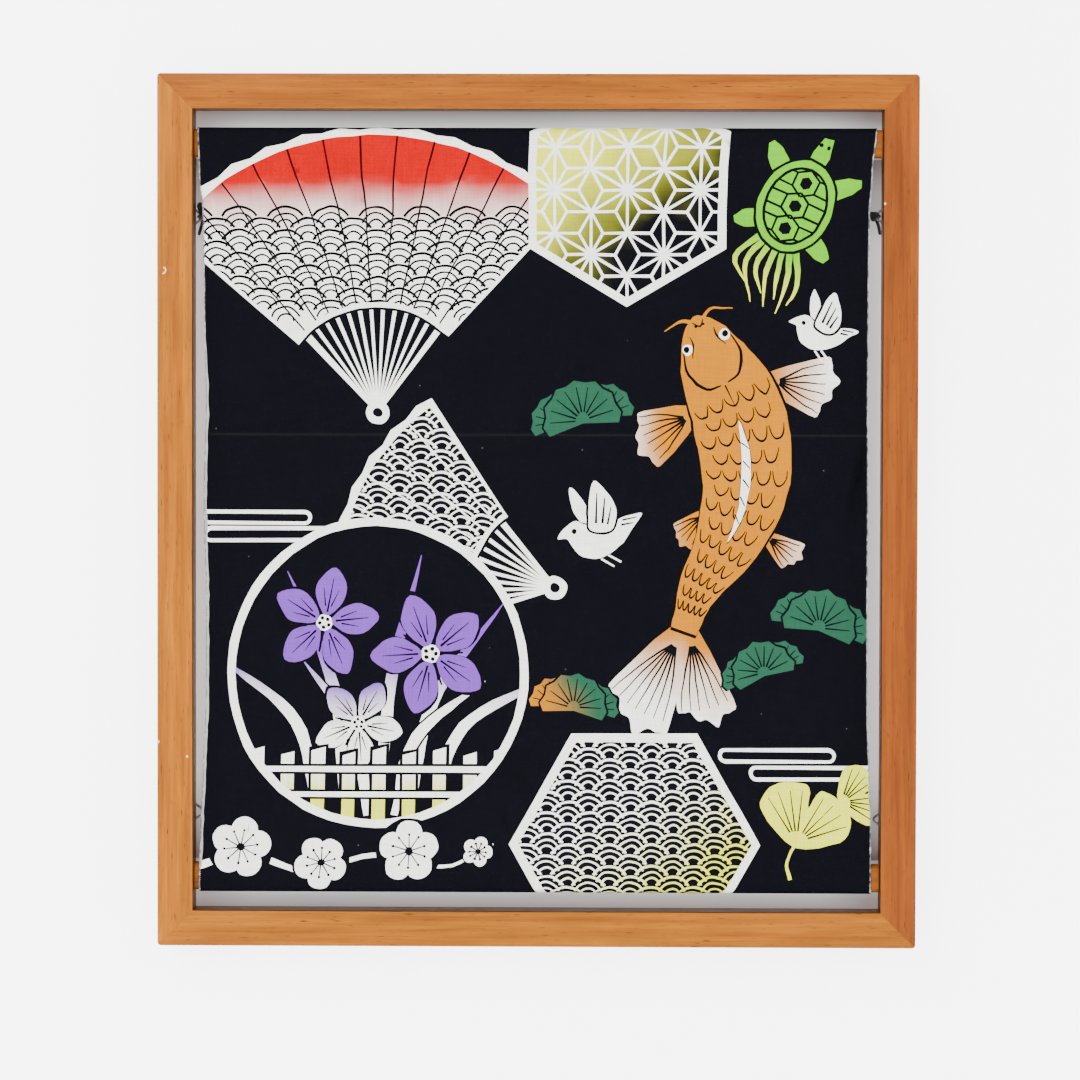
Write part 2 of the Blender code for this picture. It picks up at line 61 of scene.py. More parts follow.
# Frame
MEMBER_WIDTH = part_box("rail_top")[1][2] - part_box("rail_top")[0][2]
FRAME_DEPTH = 0.020
TOP_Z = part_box("rail_top")[1][2]
BOTTOM_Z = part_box("rail_bottom")[0][2]
MIDDLE_Z = (TOP_Z + BOTTOM_Z) / 2
HALF_HEIGHT = (TOP_Z - BOTTOM_Z) / 2
HALF_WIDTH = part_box("stile_right")[1][0]
INNER_X = HALF_WIDTH - MEMBER_WIDTH
MEMBER_ROUND = 0.0011
CORNER_ROUND = 0.0016
MITRE_SETBACK = 0.00002
MITRE_TRIES = 30
RING_SHARES = (0.0, 0.5, 0.8, 0.9, 0.94, 0.97, 1.0)
SHARP_ANGLE = math.radians(40)

# Painted shade on the members' faces: those that look into the opening are darkened in their colour
INNER_FACE_PAINTED_SHADE = 0.20
INNER_FACE_TURN = 0.7
INNER_FACE_SHARE = 0.9

# Wood: each noise as its stretch along the grain, scale, detail, roughness and distortion
FIGURE = (0.035, 300.0, 5.0, 0.6, 0.5)
FIBRE = (0.03, 1300.0, 4.0, 0.7, 0.0)
STREAK = (0.020, 480.0, 3.0, 0.6, 0.0)
CLOUD = (0.22, 60.0, 3.0, 0.5, 0.6)
PORE = (0.10, 1300.0, 1.0, 0.5, 0.0)
STREAK_LEVEL = 0.66
PORE_LEVEL = 0.655
WOOD_GLOSS = 0.16

# Each member's node, grain axis, light colour, deep colour and seed. The colours are partly painted light:
# the left stile is lighter and the right stile darker, as light falls from the left; the rest is the wood's
# own tone.
MEMBERS = (
    ("rail_top", 0, (0.290, 0.083, 0.0002), (0.170, 0.038, 0.0001), 1.7),
    ("rail_bottom", 0, (0.315, 0.102, 0.0002), (0.190, 0.048, 0.0001), 4.1),
    ("stile_left", 2, (0.345, 0.110, 0.0002), (0.205, 0.050, 0.0001), 7.3),
    ("stile_right", 2, (0.225, 0.054, 0.0002), (0.135, 0.026, 0.0001), 9.9),
)
BAR_LIGHT = (0.26, 0.072, 0.001)
BAR_DEEP = (0.17, 0.040, 0.0005)
BAR_SEEDS = {"crossbar_top": 13.0, "crossbar_bottom": 17.0}

# Small pale marks on the front of the stiles, as x, z and radius: a curled scratch, two chips, a speck
MARK_COLOUR = (0.72, 0.55, 0.34)
MARKS = {
    "stile_left": (
        (-0.1914, -0.0902, 0.0004),
        (-0.1908, -0.0906, 0.0004),
        (-0.1904, -0.0913, 0.0004),
        (-0.1905, -0.0921, 0.0004),
        (-0.1911, -0.0927, 0.0005),
        (-0.1917, -0.0932, 0.0004),
        (-0.1944, -0.3335, 0.0007),
        (-0.1796, -0.3411, 0.0006),
    ),
    "stile_right": ((0.1774, -0.0568, 0.0006),),
}

# Crossbars
BAR_ROUND = 0.003
TOP_BAR_LOW, TOP_BAR_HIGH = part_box("crossbar_top")
LOW_BAR_LOW, LOW_BAR_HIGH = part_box("crossbar_bottom")
BAR_BACK_Y = TOP_BAR_HIGH[1]
BAR_FRONT_Y = TOP_BAR_LOW[1]

# Towel, as in the solids
TOWEL_WIDTH = 0.350
TOWEL_LENGTH = 0.900
HALF_CLOTH = TOWEL_WIDTH / 2 / MM
SHEET_STAND_OFF = 0.0008
OUTER_LAYER_STEP = 0.0016
OVERLAP_LOW_Z = -0.260
OVERLAP_STEP_BELOW = 0.004
OVERLAP_STEP_HEIGHT = 0.018
FOLD_BELOW_TOP = 0.1847
FOLD_HEIGHT = 0.0005
FOLD_REACH = 0.003
CURL_DEPTH = 0.0022
CURL_REACH = 0.016
BUCKLE_DEPTH = 0.0006
BUCKLE_ACROSS = 0.019
BUCKLE_LEAN = 15.0
BUCKLE_SWELL = 0.047
CREASE_DEPTH = 0.0007
CREASE_REACH = 0.005
CREASE_FADE = 0.9
CREASE_TOP = (0.1690, -0.172)
CREASE_LOW = (0.1590, -0.222)
BAR_FADE = 0.03
EDGE_ROWS = (
    # below the frame's top, left inset, right inset, in millimetres
    (27, 2.4, 3.5),
    (50, 3.1, 5.7),
    (72, 5.0, 7.0),
    (116, 5.5, 7.3),
    (167, 6.5, 7.3),
    (218, 5.4, 7.0),
    (270, 6.5, 7.1),
    (321, 6.5, 6.9),
    (362, 4.9, 5.9),
    (382, 3.9, 4.9),
    (421, 3.1, 4.9),
)

# The towel's mesh, in millimetres on the flat cloth
GRID_STEP = 5.0
CLOSE_ROWS = 1.3
CLOSEST_ROWS = 0.25
FOLD_ROWS = (-5, -3.4, -2.2, -1.1, 0, 1.1, 2.2, 3.4, 5)
TURN_STEPS = 12
SIDE_EDGE_REACH = 0.01
MERGE_REACH = 0.0005

# Selvedge threads
THREAD_COUNT = 900
THREAD_RADIUS = 0.00019
THREAD_REACH = 0.00034
THREAD_SWING = 0.00046
THREAD_SPREAD = 0.42

# Places on the flat cloth in metres: the slanting crease by the right edge, darkened with painted shade, and
# the pressed fold
CREASE_AT_TOP = 0.2065
CREASE_MIDDLE_T = 0.183
CREASE_HALF_LENGTH = 0.034
CREASE_SHADE = (0.0008, 0.0008, 0.0012)
FOLD_T = 0.16147
FOLD_WEAR_REACH = 0.0009
FOLD_WEAR = (0.28, 0.27, 0.24)
THREAD_PITCH = 0.00052
LINT = (0.35, 0.35, 0.36)

# Hangers and cord, as in the solids
WIRE_RADIUS = 0.0007
RING_HEIGHT = 0.009
RING_HALF_ANGLE = math.radians(37.3)
RING_CORNER_RADIUS = 0.0013
RING_Y = 0.0019
HANGERS = (
    # name, side, tip's distance from the middle, z of the tip
    ("upper_left", -1, 0.17265, -0.0636),
    ("upper_right", 1, 0.17290, -0.0626),
    ("lower_left", -1, 0.17210, -0.3715),
    ("lower_right", 1, 0.17360, -0.3742),
)
CORD_RADIUS = 0.0010
TAIL_RADIUS = 0.0009
KNOT_EYE_RADIUS = 0.00205
KNOT_EYE_TILT = math.radians(12)
KNOT_CORE = ((-0.7, 0.0006), (-0.4, 0.0013), (0, 0.0016), (0.4, 0.0013), (0.7, 0.0006))
BRAID_PITCH = 0.0011
CORD_LEFT_END = (-0.1704, -0.0012, -0.0585)
CORD_RIGHT_END = (0.1695, -0.0012, -0.0620)
CORD_Y = -0.0012
HOOK_Z = -0.030
HOOK_RUN = 0.010
HOOK_DROP = 0.45
KNOTS = (
    # name, its hanger, centre, half sizes, tail
    (
        "left",
        "upper_left",
        (-0.1734, -0.0012, -0.0594),
        (0.0027, 0.0020, 0.0039),
        ((-0.17335, 0.0038, -0.0644), (-0.1741, 0.0038, -0.0680), (-0.1756, 0.0034, -0.0731)),
    ),
    (
        "right",
        "upper_right",
        (0.1725, -0.0012, -0.0626),
        (0.0027, 0.0020, 0.0027),
        ((0.1735, 0.0036, -0.0634), (0.1752, 0.0037, -0.0670), (0.1762, 0.0034, -0.0722)),
    ),
)

# Stage
WALL_Y = 0.0065
FLOOR_Z = -0.62
STAGE_REACH = 2.4
WALL_TOP = 1.6
FLOOR_FRONT = -3.2
WALL_COLOUR = (0.86, 0.86, 0.87)
FLOOR_COLOUR = (0.80, 0.80, 0.79)
WALL_GLOW = 4.6
FLOOR_GLOW = 0.3
WORLD_COLOUR = (0.93, 0.95, 1.0, 1.0)
WORLD_STRENGTH = 1.3

# The wall seen through the frame has painted shade: its colour is darker and it glows less there, and least
# by the rails, stiles and crossbars
SHADED_GLOW = 0.45
SIDE_GAP_GLOW = 0.55
BAR_SHADE_REACH = 0.045
END_SHADE_REACH = 0.030
DEEPEST_SHADE = 0.50
SHADE_INSET = 0.010
SHADE_BLUR = 0.008

# Dyes, as linear colours
GROUND = (0.0022, 0.0022, 0.0040)
WHITE = (0.88, 0.87, 0.80)
OCHRE = (0.43, 0.150, 0.002)
TEAL = (0.016, 0.075, 0.042)
LIME = (0.105, 0.40, 0.004)
PURPLE = (0.155, 0.050, 0.36)
YELLOW = (0.66, 0.68, 0.040)
RED = (0.38, 0.0, 0.0005)
PALE_EDGE = (0.33, 0.33, 0.31)

# The print's lines, in millimetres
RIB_STEP = 7.0
STENCIL_WANDER = 0.55
STENCIL_WANDER_LENGTH = 5.1
DYE_WANDER = 0.16
DYE_WANDER_LENGTH = 14
PALE_EDGE_TOP = 104.0
PALE_EDGE_STEP = 8.0
PALE_EDGE_STEPS = 36
PALE_EDGE_WIDTH = 2.3
PALE_EDGE_WAVER = 1.2
PALE_EDGE_START_STEPS = 5


# Materials


class Look:
    """A material and its node tree, with short ways to add nodes."""

    def __init__(self, name):
        self.material = bpy.data.materials.new(name)
        self.material.use_nodes = True
        self.tree = self.material.node_tree
        self.surface = self.tree.nodes["Principled BSDF"]

    def feed(self, made, key, value):
        """Links an input to a socket, or sets it to a value."""
        if isinstance(value, bpy.types.NodeSocket):
            self.tree.links.new(value, made.inputs[key])
        else:
            made.inputs[key].default_value = value

    def add(self, kind, inputs=None, **settings):
        """A node with its settings and its inputs."""
        made = self.tree.nodes.new("ShaderNode" + kind)
        for key, value in settings.items():
            setattr(made, key, value)
        for key, value in (inputs or {}).items():
            self.feed(made, key, value)
        return made

    def maths(self, operation, *values, clamp=False):
        """The result of a math node."""
        inputs = dict(enumerate(values))
        return self.add("Math", inputs, operation=operation, use_clamp=clamp).outputs[0]

    def times(self, *values):
        """Values multiplied together."""
        result = values[0]
        for value in values[1:]:
            result = self.maths("MULTIPLY", result, value)
        return result

    def scaled(self, value, scale, start, clamp=False):
        """A value times a scale, from a start."""
        return self.maths("MULTIPLY_ADD", value, scale, start, clamp=clamp)

    def above(self, value, level, steepness):
        """How far a value is above a level, from 0 to 1."""
        return self.maths("MULTIPLY", self.maths("SUBTRACT", value, level, clamp=True), steepness, clamp=True)

    def near(self, value, place, reach):
        """1 where a value is at a place, and 0 beyond the reach."""
        apart = self.maths("ABSOLUTE", self.maths("SUBTRACT", value, place))
        return self.maths("SUBTRACT", 1.0, self.maths("MULTIPLY", apart, 1 / reach), clamp=True)

    def mix(self, factor, first, second, blend="MIX"):
        """A colour between two, by a factor."""
        made = self.add("Mix", data_type="RGBA", blend_type=blend)
        for key, value in ((0, factor), (6, first), (7, second)):
            self.feed(made, key, (*value, 1.0) if isinstance(value, (tuple, list)) else value)
        return made.outputs[2]

    def toned(self, colour, tone):
        """A colour times a grey tone."""
        grey = self.add("CombineColor", {0: tone, 1: tone, 2: tone}).outputs[0]
        return self.mix(1.0, colour, grey, "MULTIPLY")

    def ramp(self, factor, *stops):
        """A colour ramp with stops of (place, colour)."""
        made = self.add("ValToRGB", {0: factor})
        ends = made.color_ramp.elements
        while len(ends) < len(stops):
            ends.new(0.5)
        for element, (place, colour) in zip(ends, stops):
            element.position = place
            element.color = (*colour, 1.0)
        return made.outputs[0]

    def noise(self, vector, scale, detail, roughness=0.5, distortion=0.0):
        """The value of a noise texture."""
        inputs = {"Vector": vector, "Scale": scale, "Detail": detail}
        inputs.update({"Roughness": roughness, "Distortion": distortion})
        return self.add("TexNoise", inputs).outputs[0]

    def stretched(self, vector, shares):
        """A vector with each axis times its own share."""
        return self.add("VectorMath", {0: vector, 1: shares}, operation="MULTIPLY").outputs[0]

    def bump(self, height, distance, strength=1.0, below=None):
        """A bump from a height, on another bump if given."""
        inputs = {"Height": height, "Distance": distance, "Strength": strength}
        if below is not None:
            inputs["Normal"] = below
        return self.add("Bump", inputs).outputs[0]

    def set(self, **inputs):
        """Sets the surface's inputs, with underscores for the spaces in their names."""
        for key, value in inputs.items():
            self.feed(self.surface, key.replace("_", " "), value)

    def place(self):
        """The place in the object's own axes."""
        return self.add("TexCoord").outputs["Object"]


def wood_material(name, grain_axis, light, deep, seed, marks=()):
    """Oiled wood with its grain along one axis (0 for X, 2 for Z), and small pale marks of wear."""
    look = Look(name)
    place = look.place()
    shift = (seed, seed * 0.7, seed * 1.3)
    shifted = look.add("Mapping", {"Vector": place, "Location": shift}).outputs[0]

    def grain(stretch, *settings):
        shares = [1.0, 1.0, 1.0]
        shares[grain_axis] = stretch
        return look.noise(look.stretched(shifted, shares), *settings)

    figure, fibre, streak, cloud, pore = (grain(*row) for row in (FIGURE, FIBRE, STREAK, CLOUD, PORE))
    middle = [(a + b) / 2 for a, b in zip(light, deep)]
    base = look.ramp(figure, (0.28, deep), (0.5, middle), (0.72, light))
    # The depth colour is painted shade: it darkens the faces that look into the opening.
    depth = look.add("VertexColor", layer_name="depth").outputs[0]
    swings = [look.scaled(fibre, 0.90, 0.55), look.scaled(streak, 0.50, 0.75), look.scaled(cloud, 0.90, 0.55)]
    toned = look.toned(base, look.times(*swings, depth))
    toned = look.mix(look.times(look.above(streak, STREAK_LEVEL, 5.0), 0.5), toned, [c * 0.42 for c in deep])
    pores = look.above(pore, PORE_LEVEL, 8.0)
    toned = look.mix(pores, toned, [c * 0.28 for c in deep])
    for x, z, radius in marks:
        spot = {0: place, 1: (x, -FRAME_DEPTH, z)}
        apart = look.add("VectorMath", spot, operation="DISTANCE").outputs["Value"]
        worn = look.maths("LESS_THAN", look.scaled(fibre, -radius, apart), radius / 2)
        toned = look.mix(worn, toned, MARK_COLOUR)
    fine = look.bump(fibre, 0.00010, 0.5)
    look.set(Base_Color=toned, Roughness=look.scaled(fibre, 0.24, 0.30), Specular_IOR_Level=WOOD_GLOSS)
    look.set(Normal=look.bump(pores, -0.00014, 0.8, fine))
    return look.material


def cloth_material():
    """Dyed plain-weave cotton. The print is in the mesh's colours, the weave in nodes, and a painted shade
    lies along the slanting crease.
    """
    look = Look("cotton")
    print_colour = look.add("VertexColor", layer_name="print").outputs[0]
    flat = look.add("UVMap", uv_map="cloth").outputs[0]
    warp_slub = look.noise(look.stretched(flat, (1400.0, 60.0, 1.0)), 1.0, 2.0)
    weft_slub = look.noise(look.stretched(flat, (60.0, 1400.0, 1.0)), 1.0, 2.0)
    slubs = look.maths("ADD", warp_slub, weft_slub)
    across, down = look.add("SeparateXYZ", {0: flat}).outputs[:2]
    warp, weft = (look.maths("SINE", look.times(way, 2 * math.pi / THREAD_PITCH)) for way in (across, down))
    mottle = look.noise(flat, 26.0, 6.0, 0.65)
    by_slubs, by_mottle = look.scaled(slubs, 0.36, 0.64), look.scaled(mottle, 0.30, 0.85)
    cloth_colour = look.toned(print_colour, look.times(by_slubs, by_mottle))
    # Painted shade along the slanting crease by the right edge
    crease_slope = (CREASE_LOW[0] - CREASE_TOP[0]) / (CREASE_TOP[1] - CREASE_LOW[1])
    by_crease = look.near(across, look.scaled(down, crease_slope, CREASE_AT_TOP), CREASE_REACH)
    along_crease = look.near(down, CREASE_MIDDLE_T, CREASE_HALF_LENGTH)
    cloth_colour = look.mix(look.times(by_crease, along_crease, 0.85), cloth_colour, CREASE_SHADE)
    cloth_colour = look.mix(look.times(look.near(down, FOLD_T, FOLD_WEAR_REACH), 0.016), cloth_colour, FOLD_WEAR)
    cells = {"Vector": flat, "Scale": 55.0, "Randomness": 1.0}
    specks = look.maths("LESS_THAN", look.add("TexVoronoi", cells).outputs["Distance"], 0.022)
    look.set(Base_Color=look.mix(look.times(specks, 0.16), cloth_colour, LINT))
    look.set(Roughness=0.88, Specular_IOR_Level=0.04)
    cross = look.bump(look.times(warp, weft), 0.00006, 0.6)
    slubbed = look.bump(slubs, 0.00016, 0.6, cross)
    look.set(Normal=look.bump(look.noise(flat, 38.0, 3.0), 0.0012, 0.35, slubbed))
    return look.material


def thread_material():
    """Undyed and half-dyed cotton thread at the selvedges."""
    look = Look("selvedge_thread")
    tone = look.noise(look.place(), 420.0, 2.0)
    stops = (0.34, (0.015, 0.015, 0.02)), (0.46, (0.16, 0.16, 0.17)), (0.66, (0.62, 0.61, 0.58))
    look.set(Base_Color=look.ramp(tone, *stops), Roughness=0.95, Normal=look.bump(tone, 0.0001, 0.5))
    return look.material


def metal_material():
    """Nickel-plated steel with fine drawing marks, its colour darkened as painted shade for the hangers
    behind the frame.
    """
    look = Look("nickel_plate")
    marks = look.noise(look.place(), 1800.0, 3.0)
    look.set(Base_Color=look.ramp(marks, (0.3, (0.17, 0.16, 0.15)), (0.7, (0.38, 0.37, 0.35))), Metallic=1.0)
    look.set(Roughness=look.scaled(marks, 0.2, 0.18), Normal=look.bump(marks, 0.00003, 0.4))
    return look.material


def cord_material():
    """Black braided cord."""
    look = Look("black_braid")
    place = look.place()
    x, _, z = look.add("SeparateXYZ", {0: place}).outputs
    lean = 2 * math.pi / BRAID_PITCH
    strands = [look.maths("SINE", look.times(look.maths(way, x, z), lean)) for way in ("ADD", "SUBTRACT")]
    fuzz = look.noise(place, 2600.0, 2.0)
    look.set(Base_Color=look.ramp(fuzz, (0.3, (0.006, 0.006, 0.007)), (0.75, (0.030, 0.030, 0.034))))
    look.set(Roughness=0.75, Sheen_Weight=0.15, Sheen_Roughness=0.5)
    look.set(Normal=look.bump(fuzz, 0.0001, 0.4, look.bump(look.maths("MAXIMUM", *strands), 0.0002, 0.8)))
    return look.material


def paint_shade_behind_frame(look, colour, glow):
    """Paints shade on a wall where it is seen through the frame: a darker colour and less glow, as a painted
    shadow of the frame.
    """
    x, _, z = look.add("SeparateXYZ", {0: look.place()}).outputs
    across = look.maths("ABSOLUTE", x)
    up = look.maths("ABSOLUTE", look.maths("SUBTRACT", z, MIDDLE_Z))
    from_side = look.maths("SUBTRACT", across, HALF_WIDTH - SHADE_INSET)
    from_end = look.maths("SUBTRACT", up, HALF_HEIGHT - SHADE_INSET)
    beyond = look.scaled(look.maths("MAXIMUM", from_side, from_end), 1 / SHADE_BLUR, 0.5, clamp=True)
    slot_height = TOP_Z - MEMBER_WIDTH - TOP_BAR_HIGH[2]
    half_span = (TOP_BAR_LOW[2] - LOW_BAR_HIGH[2]) / 2

    def within(distance, edge, reach):
        return look.scaled(distance, -1 / reach, edge / reach, clamp=True)

    # Painted light and shade for the slots by the rails and the gaps by the crossbars, in place of the
    # frame's real shadow
    from_rail = within(up, HALF_HEIGHT - MEMBER_WIDTH, slot_height)
    from_stile = look.scaled(within(across, INNER_X, END_SHADE_REACH), 0.5, 0.5)
    painted_slot_light = look.times(from_rail, from_stile, look.maths("GREATER_THAN", up, half_span))
    painted_gap_light = within(up, half_span, BAR_SHADE_REACH)
    painted_inner_glow = look.scaled(painted_gap_light, SIDE_GAP_GLOW, look.times(painted_slot_light, SHADED_GLOW))
    painted_inner_glow = look.times(painted_inner_glow, look.maths("SUBTRACT", 1.0, beyond))
    kept = look.scaled(look.maths("ADD", painted_slot_light, painted_gap_light), 1 - DEEPEST_SHADE, DEEPEST_SHADE)
    kept = look.maths("MAXIMUM", kept, beyond)
    look.set(Emission_Strength=look.scaled(beyond, glow, painted_inner_glow))
    look.set(Base_Color=look.mix(kept, [c * 0.001 for c in colour], colour))


def stage_material(name, colour, glow, with_painted_shade=False):
    """A pale surface that shows from its front alone, so that the part's back can be seen through it. It can
    carry painted shade behind the frame.
    """
    look = Look(name)
    look.set(Base_Color=(*colour, 1.0), Roughness=0.95, Specular_IOR_Level=0.1)
    look.set(Emission_Color=(*colour, 1.0), Emission_Strength=glow)
    if with_painted_shade:
        paint_shade_behind_frame(look, colour, glow)
    behind = look.add("NewGeometry").outputs["Backfacing"]
    clear = look.add("BsdfTransparent").outputs[0]
    mixed = look.add("MixShader", {0: behind, 1: look.surface.outputs[0], 2: clear})
    look.feed(look.tree.nodes["Material Output"], "Surface", mixed.outputs[0])
    return look.material


# Mesh helpers


def add_object(name, data, material):
    """Links an object with its material."""
    thing = bpy.data.objects.new(name, data)
    bpy.context.scene.collection.objects.link(thing)
    data.materials.append(material)
    return thing


def carry(piece, node):
    """Puts a piece on the root body and hides the solid that it stands for."""
    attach(piece, "root")
    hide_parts(node)
    return piece


def mesh_from(name, points, faces):
    """A smooth closed mesh with its faces turned outwards."""
    mesh = bpy.data.meshes.new(name)
    mesh.from_pydata([tuple(p) for p in points], [], faces)
    work = bmesh.new()
    work.from_mesh(mesh)
    bmesh.ops.recalc_face_normals(work, faces=work.faces)
    work.to_mesh(mesh)
    work.free()
    mesh.shade_smooth()
    return mesh


def ring_faces(count, sides, cyclic=False):
    """The faces of a skin over rings of points, with the end rings closed unless it is cyclic."""
    faces = []
    for i in range(count if cyclic else count - 1):
        low, high = i * sides, (i + 1) % count * sides
        for k in range(sides):
            after = (k + 1) % sides
            faces.append([low + k, low + after, high + after, high + k])
    if not cyclic:
        last = (count - 1) * sides
        faces += [list(range(sides)), list(range(last, last + sides))]
    return faces


def sweep(points, radius, cyclic=False, sides=12):
    """The points and faces of a round tube. radius may be one number or one for each point."""
    spots = [Vector(p) for p in points]
    count = len(spots)
    radii = radius if isinstance(radius, (list, tuple)) else [radius] * count
    rings = []
    for i, spot in enumerate(spots):
        before = spots[i - 1] if cyclic or i else spot
        after = spots[(i + 1) % count] if cyclic or i < count - 1 else spot
        along = (after - before).normalized()
        across = along.cross(Vector((0.31, 0.82, 0.48))).normalized()
        up = along.cross(across)
        for k in range(sides):
            angle = 2 * math.pi * k / sides
            rings.append(spot + radii[i] * (math.cos(angle) * across + math.sin(angle) * up))
    return rings, ring_faces(count, sides, cyclic)


def joined_mesh(name, pieces):
    """One mesh from several (points, faces)."""
    points, faces = [], []
    for some_points, some_faces in pieces:
        start = len(points)
        points += list(some_points)
        faces += [[start + i for i in face] for face in some_faces]
    return mesh_from(name, points, faces)


def curve_run(a, b, c, d, steps):
    """Points on a smooth curve from b up to c, shaped by a and d."""
    points = []
    for i in range(steps):
        t = i / steps
        square = (2 * a - 5 * b + 4 * c - d) * t * t
        points.append(0.5 * (2 * b + (c - a) * t + square + (3 * b - a - 3 * c + d) * t**3))
    return points


def smooth_route(route, steps):
    """Points on a smooth open curve through a route, steps to each stretch."""
    spots = [Vector(p) for p in route]
    spots = [2 * spots[0] - spots[1]] + spots + [2 * spots[-1] - spots[-2]]
    points = []
    for run in zip(spots, spots[1:], spots[2:], spots[3:]):
        points += curve_run(*run, steps)
    return points + [spots[-2]]


def smooth_loop(route, steps=4):
    """Points on a smooth closed curve through a route."""
    spots = [Vector(p) for p in route]
    points = []
    for k in range(len(spots)):
        points += curve_run(*(spots[(k + j - 1) % len(spots)] for j in range(4)), steps)
    return points


def ease(share):
    """0 to 1 with a soft start and end."""
    share = min(1.0, max(0.0, share))
    return share * share * (3 - 2 * share)


# The print: shapes on the flat cloth, later ones over earlier ones

SHAPES = []


def edges_of(outline):
    """The pairs of neighbouring points round an outline."""
    return zip(outline, outline[1:] + outline[:1])


def holds(outline, u, t):
    """Whether an outline has a point inside it."""
    found = False
    for (u1, t1), (u2, t2) in edges_of(outline):
        if (t1 > t) != (t2 > t) and u < u1 + (u2 - u1) * (t - t1) / (t2 - t1):
            found = not found
    return found


def hand_cut(u, t):
    """A point moved a little, as a knife wanders when it cuts a stencil."""
    place = Vector((u / STENCIL_WANDER_LENGTH, t / STENCIL_WANDER_LENGTH, 0.5))
    sideways, downwards = noise.noise(place), noise.noise(place + Vector((0, 0, 9.0)))
    return u + STENCIL_WANDER * sideways, t + STENCIL_WANDER * downwards


def lay(outline, paint, inside=None):
    """Adds a shape. It shows only within the shape whose number is inside, if one is given."""
    spots = [hand_cut(float(p[0]), float(p[1])) for p in outline]
    tried = spots + [((a[0] + b[0]) / 2, (a[1] + b[1]) / 2) for a, b in edges_of(spots)]
    if inside is not None and not any(holds(SHAPES[inside][0], u, t) for u, t in tried):
        return inside
    if all(abs(u) > HALF_CLOTH for u, _ in spots):
        return None
    turned = sum(a[0] * b[1] - b[0] * a[1] for a, b in edges_of(spots))
    SHAPES.append((spots if turned > 0 else spots[::-1], paint, inside))
    return len(SHAPES) - 1


def shade(first, second, start, end):
    """A dye that runs from one colour to another between two places."""
    start, end = Vector(start), Vector(end)
    run = end - start

    def colour_at(u, t):
        share = (Vector((u, t)) - start).dot(run) / run.length_squared
        share += DYE_WANDER * noise.noise(Vector((u / DYE_WANDER_LENGTH, t / DYE_WANDER_LENGTH, 3.7)))
        share = ease(share)
        return tuple(a + (b - a) * share for a, b in zip(first, second))

    return colour_at


def polar(centre, radius, degrees):
    """A point round a centre. 0 degrees is up the cloth, and 90 is to the right."""
    turn = math.radians(degrees)
    return Vector((centre[0] + radius * math.sin(turn), centre[1] - radius * math.cos(turn)))


def disc(centre, radius, points=28):
    """A round outline."""
    return [polar(centre, radius, 360 * i / points) for i in range(points)]


def oval(centre, long_radius, short_radius, degrees, points):
    """An oval outline, its long way towards degrees."""
    out, side = polar((0, 0), 1, degrees), polar((0, 0), 1, degrees + 90)
    spots = []
    for i in range(points):
        turn = 2 * math.pi * i / points
        long_way = out * long_radius * math.cos(turn)
        spots.append(Vector(centre) + long_way + side * short_radius * math.sin(turn))
    return spots


def stroke(route, widths, steps=5, spacing=1000.0):
    """The outline of a brush stroke along a route. widths are given at even places along it.

    A route of two points is cut up at the spacing, so that a dye that fades beside it stays even.
    """
    if len(route) > 2:
        centre = smooth_route(route, steps)
    else:
        start, end = Vector(route[0]), Vector(route[1])
        pieces = max(1, round((end - start).length / spacing))
        centre = [start.lerp(end, i / pieces) for i in range(pieces + 1)]
    count = len(centre)
    left, right = [], []
    for i, spot in enumerate(centre):
        along = (centre[min(i + 1, count - 1)] - centre[max(i - 1, 0)]).normalized()
        place = i / (count - 1) * (len(widths) - 1)
        low = min(int(place), len(widths) - 2)
        width = widths[low] + (widths[low + 1] - widths[low]) * (place - low)
        side = Vector((-along.y, along.x)) * (width / 2)
        left.append(spot + side)
        right.append(spot - side)
    return left + right[::-1]


def brush(route, widths, paint, inside=None, steps=5):
    """Lays a brush stroke."""
    return lay(stroke(route, widths, steps), paint, inside)


def ray(centre, near, far, widths, inside=None):
    """A dark straight stroke between two places round a centre, each as (radius, degrees)."""
    return brush([polar(centre, *near), polar(centre, *far)], widths, GROUND, inside)


def box(left, top, right, bottom, paint, inside):
    """Lays an upright rectangle."""
    return lay([(left, top), (right, top), (right, bottom), (left, bottom)], paint, inside)


def arc_points(centre, radius, start, end, count):
    """Points along an arc."""
    return [polar(centre, radius, start + (end - start) * i / (count - 1)) for i in range(count)]


def arc_band(centre, inner, outer, start, end, count):
    """The outline of a band between two arcs."""
    return arc_points(centre, outer, start, end, count) + arc_points(centre, inner, end, start, count)


def hexagon(centre, radius, turn=0):
    """A six-sided outline."""
    return [polar(centre, radius, turn + 60 * i) for i in range(6)]


def hexagon_window(centre, radius, rim=4.0, turn=0):
    """A white six-sided ring. Returns the number of the field inside it."""
    lay(hexagon(centre, radius, turn), WHITE)
    return lay(hexagon(centre, radius - rim * 2 / math.sqrt(3), turn), GROUND)


